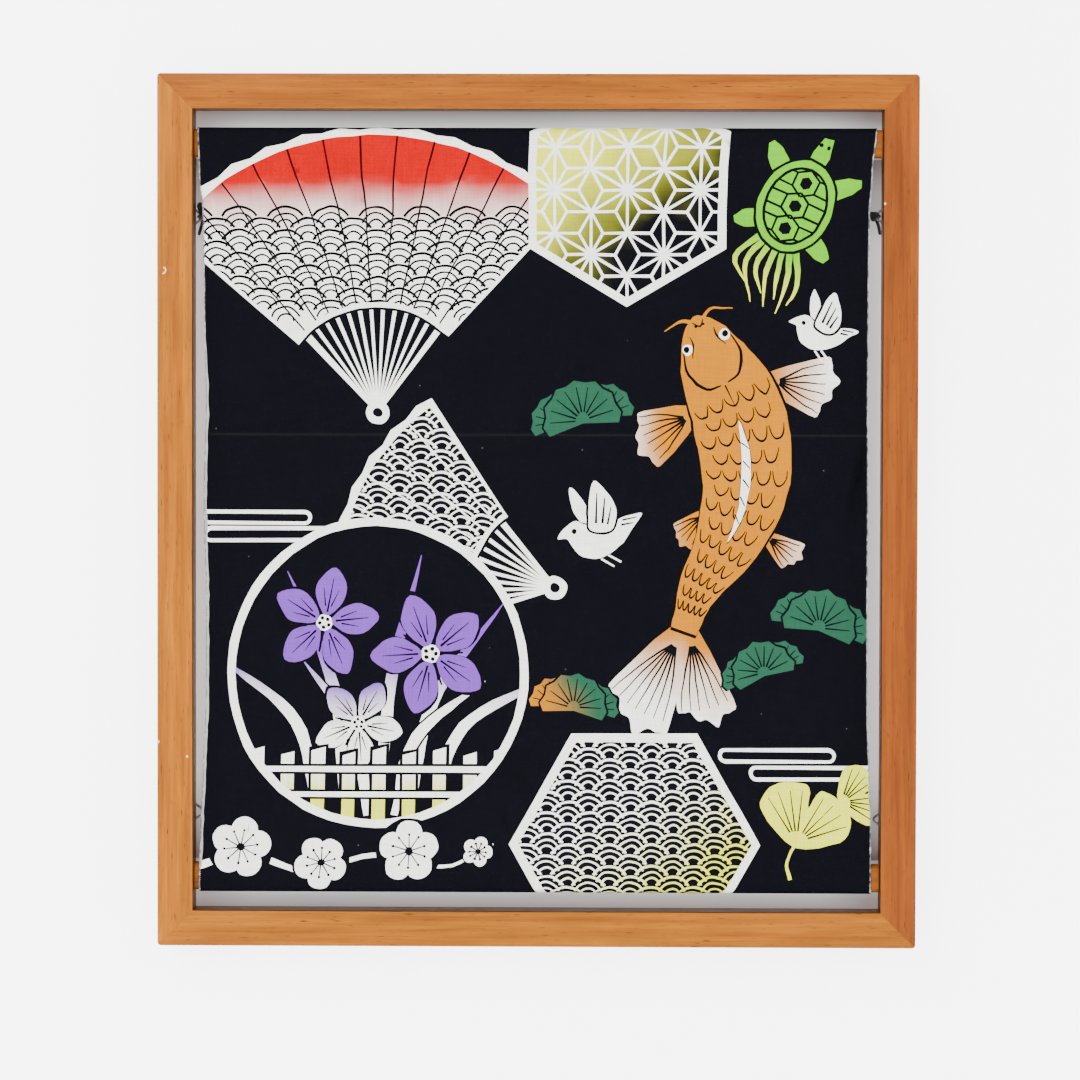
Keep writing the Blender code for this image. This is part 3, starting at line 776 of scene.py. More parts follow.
def fan(pivot, inner, outer, start, end, folds, fill, line_paint):
    """A folding fan: its pleated leaf, its sticks and its pin. Returns the number of the leaf's field."""
    pleat, foot, rim = 0.9, 2.6, 4.0
    top = []
    for i in range(2 * folds + 1):
        reach = outer + (pleat if i % 2 else -pleat)
        top.append(polar(pivot, reach, start + (end - start) * i / (2 * folds)))
    lay(top + arc_points(pivot, inner, end, start, 20), WHITE)
    trim = math.degrees(3.0 / outer)
    field = lay(arc_band(pivot, inner + foot, outer - rim, start + trim, end - trim, 30), fill)
    for i in range(1, folds):
        angle = start + (end - start) * i / folds
        rib = [polar(pivot, inner + foot, angle), polar(pivot, outer - rim, angle)]
        lay(stroke(rib, [0.9, 0.9], spacing=RIB_STEP), line_paint)
    for i in range(folds + 1):
        angle = start + (end - start) * (i * 0.86 + folds * 0.07) / folds
        width = 3.4 if i in (0, folds) else 2.0
        brush([polar(pivot, 6, angle), polar(pivot, inner - 1.4, angle)], [width * 0.55, width], WHITE)
    lay(disc(pivot, 6.2), WHITE)
    lay(disc(pivot, 2.6, 16), GROUND)
    return field


def wave_scales(inside, left, top, columns, rows, radius, paint):
    """Overlapping round waves, each with rings inside it."""
    for row in range(rows):
        for column in range(columns):
            centre = (left + (column + (row % 2) * 0.5) * 2 * radius, top + row * radius * 0.5)
            for share, width in ((1.0, 1.3), (0.72, 1.0), (0.44, 1.0)):
                reach = 89 - 33 * max(0.0, share - 0.35) / 0.65
                arc = arc_points(centre, radius * share - 0.7, -reach, reach, 9)
                brush(arc, [width, width], paint, inside, 2)


def hemp_lattice(inside, centre, size, rings, width):
    """White star lattice of straight lines in six-sided cells."""
    step = size * math.sqrt(3)
    seen = set()
    for a in range(-rings, rings + 1):
        for b in range(-rings, rings + 1):
            if abs(a + b) > rings:
                continue
            middle = Vector(centre) + Vector((step * (a + b * 0.5), step * b * math.sqrt(3) / 2))
            for k in range(6):
                tip = polar(middle, size, 60 * k)
                after = polar(middle, size, 60 * k + 60)
                kite = polar(middle, size / math.sqrt(3), 60 * k + 30)
                for start, end in ((middle, tip), (tip, kite), (kite, after), (middle, kite)):
                    key = frozenset((round(p.x, 1), round(p.y, 1)) for p in (start, end))
                    if key not in seen:
                        seen.add(key)
                        brush([start, end], [width, width], WHITE, inside)


def bellflower(centre, radius, turn, paint, inside):
    """A five-pointed flower with veins and a pale middle."""
    petal = ((0.12, 0), (0.45, -31), (0.74, -21), (1.0, 0), (0.74, 21), (0.45, 31))
    for k in range(5):
        route = [polar(centre, radius * reach, turn + 72 * k + lean) for reach, lean in petal]
        lay(smooth_loop(route), paint, inside)
    for k in range(5):
        angle = turn + 72 * k
        ray(centre, (radius * 0.2, angle), (radius * 0.8, angle), [1.1, 0.3], inside)
        for lean in (-13, 13):
            start, end = (radius * 0.3, angle + lean * 0.8), (radius * 0.62, angle + lean)
            ray(centre, start, end, [0.8, 0.25], inside)
        ray(centre, (radius * 0.16, angle + 36), (radius * 0.5, angle + 36), [1.2, 0.9], inside)
    lay(disc(centre, radius * 0.14, 14), WHITE, inside)
    for k in range(5):
        lay(disc(polar(centre, radius * 0.085, turn + 36 + 72 * k), radius * 0.035, 8), GROUND, inside)


def plum(centre, radius, turn):
    """A white round-petalled blossom with stamens."""
    for k in range(5):
        lay(disc(polar(centre, radius * 0.56, turn + 72 * k), radius * 0.44, 20), WHITE)
    for k in range(10):
        angle = turn + 36 * k
        ray(centre, (radius * 0.12, angle), (radius * 0.5, angle), [0.7, 0.5])
        lay(disc(polar(centre, radius * 0.54, angle), 0.75, 8), GROUND)
    lay(disc(centre, radius * 0.13, 12), GROUND)


def pine(centre, size, turn, paint):
    """A tuft of pine: three rounded lobes with needles drawn in them."""
    # each lobe's distance from the centre, its lean and its share of the size
    for reach, lean, share in ((0.62, -62, 0.6), (0.62, 62, 0.6), (0.35, 0, 0.78)):
        middle = polar(centre, size * reach, turn + lean)
        lobe = size * share
        foot = polar(middle, lobe * 0.55, turn + 180)
        scallop = []
        for k in range(7):
            angle = turn - 90 + 30 * k
            scallop.append(polar(foot, lobe * 1.18, angle - 15))
            scallop.append(polar(foot, lobe * 1.28, angle))
        scallop.append(polar(foot, lobe * 1.18, turn + 105))
        inner = []
        for p in scallop:
            angle = math.degrees(math.atan2(p.x - foot.x, foot.y - p.y))
            inner.append(polar(foot, (p - foot).length - 1.1, angle))
        lay([polar(foot, lobe * 0.2, turn + 180)] + scallop, GROUND)
        lay([polar(foot, lobe * 0.12, turn + 180)] + inner, paint)
        for k in range(9):
            angle = turn - 84 + 21 * k
            ray(foot, (lobe * 0.22, angle), (lobe * 1.0, angle), [0.9, 0.45])


def ginkgo(stem, size, turn):
    """A yellow fan-shaped leaf with a notch, veins and a stem."""
    # the edge as degrees from the middle and share of the size
    edge = ((-66, 0.72), (-52, 0.93), (-34, 1.0), (-16, 0.97), (-5, 0.93), (0, 0.62))
    edge += ((5, 0.93), (16, 0.98), (34, 1.0), (52, 0.92), (66, 0.70))
    outline = [polar(stem, size * 0.04, turn + 180)]
    lay(smooth_loop(outline + [polar(stem, size * reach, turn + angle) for angle, reach in edge]), YELLOW)
    for angle in (-50, -37, -24, -12, 12, 24, 37, 50):
        ray(stem, (size * 0.22, turn + angle * 0.9), (size * 0.86, turn + angle), [0.9, 0.4])
    stalk = ((0.05, 0), (0.3, 186), (0.55, 168))
    brush([polar(stem, size * reach, turn + lean) for reach, lean in stalk], [1.6, 1.5, 2.0], YELLOW)


def grown(outline, distance, middle=None):
    """An outline moved out from a middle, or from its own."""
    if middle is None:
        middle = sum((Vector(p) for p in outline), Vector((0, 0))) / len(outline)
    return [p + (p - middle).normalized() * distance for p in map(Vector, outline)]


# A plump shore bird in flight, as (forward, up) places in shares of its size
BIRD_FAR_WING = ((0.38, 0.46), (0.56, 0.95), (0.50, 1.50), (0.22, 1.10), (0.10, 0.52))
BIRD_BODY = (
    (1.16, 0.26), (0.86, 0.50), (0.56, 0.58), (0.28, 0.42), (-0.25, 0.26), (-0.85, 0.40), (-1.30, 0.36),
    (-0.98, 0.06), (-0.45, -0.36), (0.10, -0.54), (0.60, -0.38), (0.84, 0.02), (0.92, 0.18),
)
BIRD_NEAR_WING = ((0.22, 0.26), (0.12, 0.85), (-0.20, 1.52), (-0.50, 1.10), (-0.62, 0.55), (-0.34, 0.12))
BIRD_WING_LINES = (
    ((0.02, 0.42), (-0.20, 1.20)),
    ((-0.14, 0.36), (-0.38, 1.00)),
    ((-0.28, 0.30), (-0.50, 0.74)),
)
BIRD_TAIL_LINES = (((-0.72, 0.30), (-1.12, 0.30)), ((-0.66, 0.18), (-0.98, 0.16)))
BIRD_LEGS = (((-0.10, -0.52), (-0.42, -0.78)), ((0.10, -0.56), (-0.20, -0.86)))
BIRD_EYE = (0.66, 0.32)


def plover(centre, size, turn, facing):
    """A small white shore bird, seen from the side."""

    def spots(places):
        made = []
        for forward, up in places:
            across = polar((0, 0), facing * forward * size, turn + 90)
            made.append(Vector(centre) + polar((0, 0), up * size, turn) + across)
        return made

    lay(smooth_loop(spots(BIRD_FAR_WING), 5), WHITE)
    body = smooth_loop(spots(BIRD_BODY))
    near = smooth_loop(spots(BIRD_NEAR_WING), 5)
    for outline, gap in ((body, 1.2), (near, 1.3)):
        lay(grown(outline, gap), GROUND)
        lay(outline, WHITE)
    for run in BIRD_WING_LINES:
        brush(spots(run), [1.3, 0.6], GROUND)
    for run in BIRD_TAIL_LINES:
        brush(spots(run), [1.0, 0.7], GROUND)
    lay(disc(spots([BIRD_EYE])[0], size * 0.075, 10), GROUND)
    for run in BIRD_LEGS:
        brush(spots(run), [1.0, 0.9], WHITE)


def fin(root, length, spread, turn, paint, rays):
    """A rayed fin that opens from its root."""
    outline = [polar(root, length * 0.05, turn + 180)]
    for k in range(9):
        reach = length * (1.0 - 0.22 * abs(k - 3) / 5 + (0.03 if k % 2 else -0.02))
        outline.append(polar(root, reach, turn - spread / 2 + spread * k / 8))
    lay(smooth_loop(outline), paint)
    for k in range(rays):
        angle = turn - spread * 0.4 + spread * 0.8 * k / (rays - 1)
        places = ((0.22, angle * 0.3 + turn * 0.7), (0.55, angle), (0.84, angle))
        brush([polar(root, length * reach, way) for reach, way in places], [1.2, 0.8, 0.5], GROUND, steps=3)


CARP_SPINE = ((84, 100), (94, 124), (107, 152), (111, 184), (102, 214), (86, 240), (78, 262))
CARP_HALF_WIDTHS = (
    # share of the way from nose to tail, half width
    (0.0, 1.5),
    (0.03, 8.0),
    (0.08, 13.0),
    (0.15, 18.0),
    (0.25, 23.0),
    (0.36, 25.0),
    (0.50, 23.5),
    (0.65, 18.5),
    (0.80, 12.0),
    (0.92, 8.0),
    (1.0, 7.0),
)
CARP_FINS = (
    # place along the carp, place across it, length, spread, turn, rays, u where the dye starts and ends
    (0.27, -0.8, 40, 56, 98, 6, 122, 168),
    (0.27, 0.8, 38, 56, 242, 6, 70, 34),
    (0.62, -0.8, 24, 50, 128, 5, 122, 168),
    (0.62, 0.8, 23, 50, 226, 5, 82, 52),
)
CARP_RIDGE = ((0.34, 0.02), (0.45, 0.10), (0.58, 0.05), (0.68, -0.02), (0.58, -0.12), (0.45, -0.10))


def carp():
    """A large carp from above, with scales, fins and barbels."""
    centre = smooth_route(CARP_SPINE, 10)
    last = len(centre) - 1

    def half_width(q):
        for (low, a), (high, b) in zip(CARP_HALF_WIDTHS, CARP_HALF_WIDTHS[1:]):
            if q <= high:
                return a + (b - a) * (q - low) / (high - low)
        return CARP_HALF_WIDTHS[-1][1]

    def at(q, v):
        """The point at a share of the way to the tail and a share of the half width."""
        place = min(max(q, 0.0), 1.0) * last
        low = min(int(place), last - 1)
        spot = centre[low].lerp(centre[low + 1], place - low)
        along = (centre[min(low + 2, last)] - centre[max(low - 1, 0)]).normalized()
        return spot + Vector((-along.y, along.x)) * half_width(q) * v

    tail_root = at(1.0, 0)
    tail_dye = shade(OCHRE, WHITE, tail_root, tail_root + Vector((-14, 46)))
    for length, spread, turn, rays in ((62, 44, 212, 7), (54, 40, 168, 6)):
        fin(tail_root + Vector((2, -4)), length, spread, turn, tail_dye, rays)
    for q, v, length, spread, turn, rays, start, end in CARP_FINS:
        fin(at(q, v), length, spread, turn, shade(OCHRE, WHITE, (start, 0), (end, 0)), rays)
    stations = [i / 40 for i in range(41)]
    body = [at(q, 1) for q in stations] + [at(q, -1) for q in reversed(stations)]
    lay(grown(body, 1.6, at(0.4, 0)), GROUND)
    lay(body, OCHRE)
    for row in range(13):
        q = 0.265 + 0.052 * row
        count = 4 if row % 2 else 5
        for k in range(count):
            v = (k - (count - 1) / 2) * 0.37
            arc = []
            for step in range(7):
                angle = math.radians(-84 + 28 * step)
                arc.append(at(q + 0.036 * math.cos(angle), v + 0.165 * math.sin(angle)))
            brush(arc, [0.5, 1.15, 0.5], GROUND, steps=2)
    ridge = [at(q, v) for q, v in CARP_RIDGE]
    lay(smooth_loop(grown(ridge, 1.2, at(0.5, 0))), GROUND)
    lay(smooth_loop(ridge), WHITE)
    for k in range(5):
        q = 0.40 + 0.05 * k
        brush([at(q, 0.07), at(q + 0.02, -0.08)], [0.8, 0.6], GROUND)
    for side in (-1, 1):
        gill = [at(0.235, side * 0.10), at(0.225, side * 0.45), at(0.17, side * 0.80), at(0.10, side * 0.92)]
        brush(gill, [0.8, 1.7, 0.8], GROUND, steps=4)
        lay(disc(at(0.098, side * 0.74), 2.9, 16), WHITE)
        lay(disc(at(0.096, side * 0.78), 1.7, 12), GROUND)
        brow = [at(0.06, side * 0.60), at(0.09, side * 0.50), at(0.13, side * 0.56)]
        brush(brow, [0.4, 1.1, 0.4], GROUND, steps=4)
        barbel = [at(0.015, side * 0.8), at(0.0, side * 6.0), at(0.03, side * 1.9) + Vector((side * -4, -2))]
        brush(barbel, [1.8, 1.4, 0.5], OCHRE)
        lay(disc(at(0.035, side * 0.25), 0.8, 8), GROUND)
    brush([at(0.24, 0.0), at(0.30, 0.0)], [1.0, 0.4], GROUND)
    brush([at(0.02, 0.55), at(0.038, 0.0), at(0.02, -0.55)], [0.5, 1.1, 0.5], GROUND, steps=4)


def tortoise(centre, size, turn):
    """A lime tortoise with a six-sided shell pattern and trailing weed."""

    def spot(forward, right):
        return Vector(centre) + polar((0, 0), forward * size, turn) + polar((0, 0), right * size, turn + 90)

    for k in range(7):
        side = (k - 3) / 3
        tip = spot(-2.0 - 0.25 * (k % 2), side * 0.45 + 0.25)
        weed = [spot(-0.75, side * 0.35), spot(-1.5, side * 0.75), tip]
        brush(weed, [3.4, 2.6, 0.5], shade(LIME, YELLOW, spot(-0.8, 0), spot(-2.1, 0)))
    # each leg's root as forward and right, its reach and its lean
    for forward, right, reach, lean in ((0.62, 0.62, 0.62, 52), (-0.55, 0.66, 0.50, 118)):
        for side in (1, -1):
            root = spot(forward, side * right)
            tip = polar(root, reach * size, turn + side * lean)
            leg = [root, root.lerp(tip, 0.6), tip]
            brush(leg, [size * 0.42, size * 0.36, size * 0.14], LIME, steps=4)
    neck = [size * 0.36, size * 0.40, size * 0.22]
    brush([spot(0.8, 0), spot(1.2, 0.03), spot(1.55, 0.0)], neck, LIME)
    for right in (0.09, -0.09):
        lay(disc(spot(1.38, right), size * 0.05, 8), GROUND)
    ovals = (
        # long share, short share, points, paint
        (1.06, 0.88, 40, GROUND),
        (1.0, 0.82, 40, LIME),
        (0.86, 0.69, 36, GROUND),
        (0.80, 0.63, 36, LIME),
    )
    for long_share, short_share, points, paint in ovals:
        shell = lay(oval(centre, size * long_share, size * short_share, turn, points), paint)
    for forward in (-0.52, 0.0, 0.52):
        cell = hexagon(spot(forward, 0), size * 0.30, turn)
        for a, b in edges_of(cell):
            brush([a, b], [1.2, 1.2], GROUND, shell)
        lay(hexagon(spot(forward, 0), size * 0.14, turn), GROUND, shell)
        for k in (1, 2, 4, 5):
            way = turn + 60 * k + (30 if k in (1, 4) else -30)
            brush([cell[k], polar(cell[k], size * 0.6, way)], [1.2, 1.2], GROUND, shell)


def blossom_branch(route, blossoms):
    """A white branch with plum blossoms."""
    brush(route, [4.2, 3.2, 2.4, 1.0], WHITE, steps=6)
    for u, t, radius, turn in blossoms:
        lay(disc((u, t), radius * 1.08, 24), GROUND)
        plum((u, t), radius, turn)


FLOWER_BLADES = (
    # foot's place across, lean, length in shares of the window's radius
    (-30, -34, 1.25),
    (-16, -14, 1.62),
    (2, 9, 1.70),
    (18, 24, 1.50),
    (30, 42, 1.22),
    (-4, -24, 1.1),
    (10, 34, 1.05),
)
FLOWERS = ((-28, -26, 29, 12), (28, -10, 32, -20), (-10, 26, 24, 30))


def flower_window(centre, radius, rim=4.4):
    """A round window with purple flowers behind a slatted fence."""
    lay(disc(centre, radius, 64), WHITE)
    field = lay(disc(centre, radius - rim, 60), GROUND)
    cu, ct = centre
    blade = shade(WHITE, PURPLE, (cu, ct + radius * 0.35), (cu, ct - radius * 0.15))
    for foot, lean, reach in FLOWER_BLADES:
        root = Vector((cu + foot, ct + radius * 0.92))
        route = [root, polar(root, radius * reach * 0.5, lean * 0.45), polar(root, radius * reach, lean)]
        brush(route, [5.4, 8.0, 8.2, 6.4, 1.4], GROUND, field, 8)
        brush(route, [3.4, 6.0, 6.2, 4.4, 0.4], blade, field, 8)
    fade = shade(WHITE, PURPLE, (cu, ct + radius * 0.42), (cu, ct + radius * 0.05))
    for across, down, size, turn in FLOWERS:
        bellflower((cu + across, ct + down), size * 1.08, turn, GROUND, field)
        bellflower((cu + across, ct + down), size, turn, PURPLE if down < 10 else fade, field)
    low = ct + 90
    for k in range(9):
        u = cu - 66 + 16 * k
        top = ct + 40 + 2.5 * (k % 2)
        lay([(u - 1.6, top - 1.8), (u + 8.6, top - 3.6), (u + 8.6, low), (u - 1.6, low)], GROUND, field)
        slat = shade(WHITE, YELLOW, (u, ct + 46), (u, ct + 66))
        lay([(u, top), (u + 7, top - 2), (u + 7, low), (u, low)], slat, field)
    for t in (47, 60):
        box(cu - 78, ct + t, cu + 78, ct + t + 5.4, GROUND, field)
        box(cu - 78, ct + t + 1.2, cu + 78, ct + t + 4.2, WHITE, field)


def mist(left, right, t, height=8.0):
    """A long flat cloud with round ends, as a white outline."""
    for inset, colour in ((0.0, WHITE), (2.0, GROUND)):
        half = height / 2 - inset
        ends = arc_points((right - height / 2, t), half, 0, 180, 9)
        lay(ends + arc_points((left + height / 2, t), half, 180, 360, 9), colour)


def pale_edge():
    """The pale strip down the left edge of the front, where the dye took less."""
    route = [(-HALF_CLOTH, PALE_EDGE_TOP + PALE_EDGE_STEP * i) for i in range(PALE_EDGE_STEPS)]
    widths = []
    for i in range(PALE_EDGE_STEPS):
        full = PALE_EDGE_WIDTH + PALE_EDGE_WAVER * noise.noise(Vector((i * 0.9, 4.0, 0.0)))
        widths.append(full * min(1.0, (i + 0.3) / PALE_EDGE_START_STEPS))
    brush(route, widths, PALE_EDGE, steps=2)


def plan_front():
    """The shapes on the front of the towel."""
    for left, right, t in ((-190, -118, 204), (-176, -104, 213), (96, 158, 326), (112, 190, 335)):
        mist(left, right, t)
    red_leaf = fan((-84, 150), 54, 146, -50, 44, 12, shade(RED, WHITE, (-84, 30), (-84, 62)), GROUND)
    wave_scales(red_leaf, -180, 56, 9, 9, 12, GROUND)
    cell = hexagon_window((48, 36), 60, 4.2)
    lay(hexagon((48, 36), 60 - 4.2 * 2 / math.sqrt(3)), shade(GROUND, YELLOW, (60, 60), (20, 10)), cell)
    hemp_lattice(cell, (48, 36), 22, 2, 1.5)
    pale_leaf = fan((10, 240), 44, 118, -112, -34, 9, GROUND, WHITE)
    wave_scales(pale_leaf, -116, 136, 6, 26, 11, WHITE)
    flower_window((-84, 284), 80)
    low_cell = hexagon_window((52, 372), 66, 4.4, turn=30)
    wave_scales(low_cell, -16, 322, 7, 20, 11, shade(WHITE, YELLOW, (52, 345), (86, 395)))
    tortoise((136, 44), 24, 24)
    carp()
    pine((24, 152), 22, -12, TEAL)
    pine((150, 258), 21, 14, TEAL)
    pine((120, 282), 18, -20, TEAL)
    pine((20, 300), 19, 8, shade(TEAL, OCHRE, (26, 290), (0, 304)))
    plover((34, 214), 19, -14, -1)
    plover((150, 110), 15, 10, -1)
    ginkgo((136, 372), 33, 20)
    ginkgo((160, 350), 22, 70)
    branch = ((-178, 384), (-150, 378), (-120, 386), (-84, 378), (-48, 384), (-22, 372))
    blossom_branch(branch, ((-154, 374, 16, 10), (-112, 382, 14, 40), (-66, 376, 16, 0), (-30, 376, 8, 20)))
    pale_edge()


def plan_back():
    """A plainer scatter of the same kinds of shapes on the hidden lengths."""
    for start, flip in ((-228, 1), (452, -1)):
        field = hexagon_window((-92 * flip, start + 62), 56)
        hemp_lattice(field, (-92 * flip, start + 62), 20, 2, 1.5)
        leaf_field = fan((66 * flip, start + 138), 36, 112, -44, 44, 9, GROUND, WHITE)
        wave_scales(leaf_field, 66 * flip - 84, start + 34, 8, 13, 11, WHITE)
        pine((-14 * flip, start + 36), 19, 0, TEAL)
        pine((150 * flip, start + 60), 19, 0, TEAL)
        plover((-20 * flip, start + 100), 18, 6, flip)
        plover((4 * flip, start + 166), 18, -10, -flip)
        ginkgo((-120 * flip, start + 172), 28, 14)
        ginkgo((144 * flip, start + 172), 26, -24)
        plum((-66 * flip, start + 170), 17, 12)
        plum((92 * flip, start + 176), 16, 0)


# The towel's shape


def edge_inset(below_top, column):
    """The side edge's inset in metres, from EDGE_ROWS."""
    below = below_top / MM
    if below <= EDGE_ROWS[0][0]:
        return EDGE_ROWS[0][column] * MM
    for upper, lower in zip(EDGE_ROWS, EDGE_ROWS[1:]):
        if below <= lower[0]:
            share = ease((below - upper[0]) / (lower[0] - upper[0]))
            return (upper[column] + (lower[column] - upper[column]) * share) * MM
    return EDGE_ROWS[-1][column] * MM


def front_relief(x, z, left_x, right_x):
    """How far the front stands out of its plane, towards the viewer."""
    away_from_bars = ease((TOP_BAR_LOW[2] - z) / BAR_FADE) * ease((z - LOW_BAR_HIGH[2]) / BAR_FADE)
    fold = FOLD_HEIGHT * math.exp(-(((z - (TOP_Z - FOLD_BELOW_TOP)) / FOLD_REACH) ** 2))
    curl = -CURL_DEPTH * ease(1 - min(x - left_x, right_x - x) / CURL_REACH)
    buckle = BUCKLE_DEPTH * math.cos(x / BUCKLE_ACROSS + BUCKLE_LEAN * z) * math.cos(x / BUCKLE_SWELL)
    (top_x, top_z), (low_x, low_z) = CREASE_TOP, CREASE_LOW
    along = (top_z - z) / (top_z - low_z)
    from_crease = x - (top_x + (low_x - top_x) * along)
    fade = ease(1 - abs(along - 0.5) / CREASE_FADE)
    crease = CREASE_DEPTH * fade * math.exp(-((from_crease / CREASE_REACH) ** 2))
    return away_from_bars * (fold + curl + buckle + crease)


def quarter(centre_y, centre_z, start):
    """Rows round a quarter turn over a bar, as (y, z, normal y, normal z)."""
    radius = BAR_ROUND + SHEET_STAND_OFF
    rows = []
    for step in range(TURN_STEPS + 1):
        angle = math.radians(start + 90 / TURN_STEPS * step)
        out_y, out_z = math.cos(angle), math.sin(angle)
        rows.append((centre_y + radius * out_y, centre_z + radius * out_z, out_y, out_z))
    return rows


def towel_path():
    """Rows along the towel, how far along each is, and the numbers of the front's first and last rows."""
    back_y = BAR_BACK_Y + SHEET_STAND_OFF
    outer_y = back_y + OUTER_LAYER_STEP
    near_y, far_y = BAR_BACK_Y - BAR_ROUND, BAR_FRONT_Y + BAR_ROUND
    top_z = TOP_BAR_HIGH[2] - BAR_ROUND
    low_z = LOW_BAR_LOW[2] + BAR_ROUND
    step_start = OVERLAP_LOW_Z - OVERLAP_STEP_BELOW - OVERLAP_STEP_HEIGHT
    rows = [(back_y, OVERLAP_LOW_Z, 1.0, 0.0)] + quarter(near_y, top_z, 0)
    top_row = len(rows) - 1
    rows += quarter(far_y, top_z, 90)
    front_row = len(rows) - 1
    rows += quarter(far_y, low_z, 180) + quarter(near_y, low_z, 270)
    for i in range(TURN_STEPS + 1):
        share = i / TURN_STEPS
        step_y = back_y + (outer_y - back_y) * ease(share)
        rows.append((step_y, step_start + OVERLAP_STEP_HEIGHT * share, 1.0, 0.0))
    lengths = [0.0]
    for a, b in zip(rows, rows[1:]):
        lengths.append(lengths[-1] + math.hypot(b[0] - a[0], b[1] - a[1]))
    rows.append((outer_y, rows[-1][1] + TOWEL_LENGTH - lengths[-1], 1.0, 0.0))
    return rows, lengths + [TOWEL_LENGTH], top_row, front_row


PATH, PATH_LENGTHS, TOP_ROW, FRONT_ROW = towel_path()
FRONT_START = PATH_LENGTHS[TOP_ROW]
T_FIRST = -FRONT_START / MM
T_LAST = (TOWEL_LENGTH - FRONT_START) / MM


def cloth_place(u, t):
    """The point of the cloth at (u, t), in metres."""
    along = FRONT_START + t * MM
    low = 0
    while low < len(PATH) - 2 and PATH_LENGTHS[low + 1] <= along:
        low += 1
    run = max(1e-9, PATH_LENGTHS[low + 1] - PATH_LENGTHS[low])
    share = min(1.0, max(0.0, (along - PATH_LENGTHS[low]) / run))
    y, z, out_y, out_z = (a + (b - a) * share for a, b in zip(PATH[low], PATH[low + 1]))
    left_x, right_x = edge_inset(TOP_Z - z, 1) - INNER_X, INNER_X - edge_inset(TOP_Z - z, 2)
    x = (left_x + right_x) / 2 + (right_x - left_x) * u * MM / TOWEL_WIDTH
    stand = front_relief(x, z, left_x, right_x) if out_y < -0.999 else 0.0
    return Vector((x, y + stand * out_y, z + stand * out_z))


def grid_levels():
    """The t of each row of the grid, close together where the cloth bends."""
    bends = []
    for row, length in zip(PATH, PATH_LENGTHS):
        if abs(row[3]) > 1e-6 or row[0] > BAR_BACK_Y + SHEET_STAND_OFF + 1e-5:
            bends.append((length - FRONT_START) / MM)
    fold_below = PATH[FRONT_ROW][1] - (TOP_Z - FOLD_BELOW_TOP)
    fold_t = (PATH_LENGTHS[FRONT_ROW] - FRONT_START) / MM + fold_below / MM
    levels = sorted([T_FIRST, T_LAST] + bends + [fold_t + d for d in FOLD_ROWS])
    filled = [levels[0]]
    for level in levels[1:]:
        start, gap = filled[-1], level - filled[-1]
        if gap < CLOSEST_ROWS:
            continue
        pieces = max(1, math.ceil(gap / GRID_STEP))
        filled += [start + gap * i / pieces for i in range(1, pieces + 1)]
    filled[-1] = T_LAST
    return filled


def grid(columns):
    """The grid's points on the flat cloth, and the edges that its triangles have to keep."""
    across = [-HALF_CLOTH + 2 * HALF_CLOTH * i / columns for i in range(columns + 1)]
    levels = grid_levels()
    spots = [Vector((u, t)) for t in levels for u in across]
    wide, last = len(across), len(levels) - 1
    edges = []
    for r in range(len(levels)):
        gaps = (levels[r] - levels[r - 1], levels[min(r + 1, last)] - levels[r])
        if r in (0, last) or min(gaps) < CLOSE_ROWS:
            edges += [(r * wide + c, r * wide + c + 1) for c in range(wide - 1)]
    for r in range(last):
        edges += [(r * wide, (r + 1) * wide), (r * wide + wide - 1, (r + 1) * wide + wide - 1)]
    return spots, edges


def along_side(corners):
    """Whether a triangle of the plan is only a line down a side edge, which would cut across its curve."""
    return min(abs(p.x) for p in corners) > HALF_CLOTH - SIDE_EDGE_REACH


def paint_of(here):
    """The paint of the topmost shape that shows, of those that a triangle lies in."""
    for shape in sorted(here, reverse=True):
        _, paint, inside = SHAPES[shape]
        if inside is None or inside in here:
            return paint
    return GROUND


def towel(material):
    """The printed towel: the flat plan cut into triangles and wound round the bars."""
    sheet = [(-HALF_CLOTH, T_FIRST), (HALF_CLOTH, T_FIRST), (HALF_CLOTH, T_LAST), (-HALF_CLOTH, T_LAST)]
    SHAPES.append((sheet, GROUND, None))
    plan_back()
    plan_front()
    spots, edges = grid(round(2 * HALF_CLOTH / GRID_STEP))
    outlines = []
    for outline, _, _ in SHAPES:
        outlines.append(list(range(len(spots), len(spots) + len(outline))))
        spots += [Vector(p) for p in outline]
    made, _, faces, _, _, owners = delaunay_2d_cdt(spots, edges, outlines, 0, MERGE_REACH, True)
    kept = []
    for face, owned in zip(faces, owners):
        if 0 in owned and not along_side([made[i] for i in face]):
            kept.append((face[::-1], set(owned)))
    used = sorted({i for face, _ in kept for i in face})
    number = {old: new for new, old in enumerate(used)}
    mesh = bpy.data.meshes.new("towel_cloth")
    points = [tuple(cloth_place(*made[i])) for i in used]
    mesh.from_pydata(points, [], [[number[i] for i in face] for face, _ in kept])
    mesh.shade_smooth()
    colours, flat = [], []
    for face, here in kept:
        paint = paint_of(here)
        for corner in face:
            u, t = made[corner]
            colours += (*(paint(u, t) if callable(paint) else paint), 1.0)
            flat += (u * MM, t * MM)
    layer = mesh.color_attributes.new("print", "FLOAT_COLOR", "CORNER")
    layer.data.foreach_set("color", colours)
    mesh.uv_layers.new(name="cloth").data.foreach_set("uv", flat)
    return carry(add_object("towel_cloth", mesh, material), "towel")


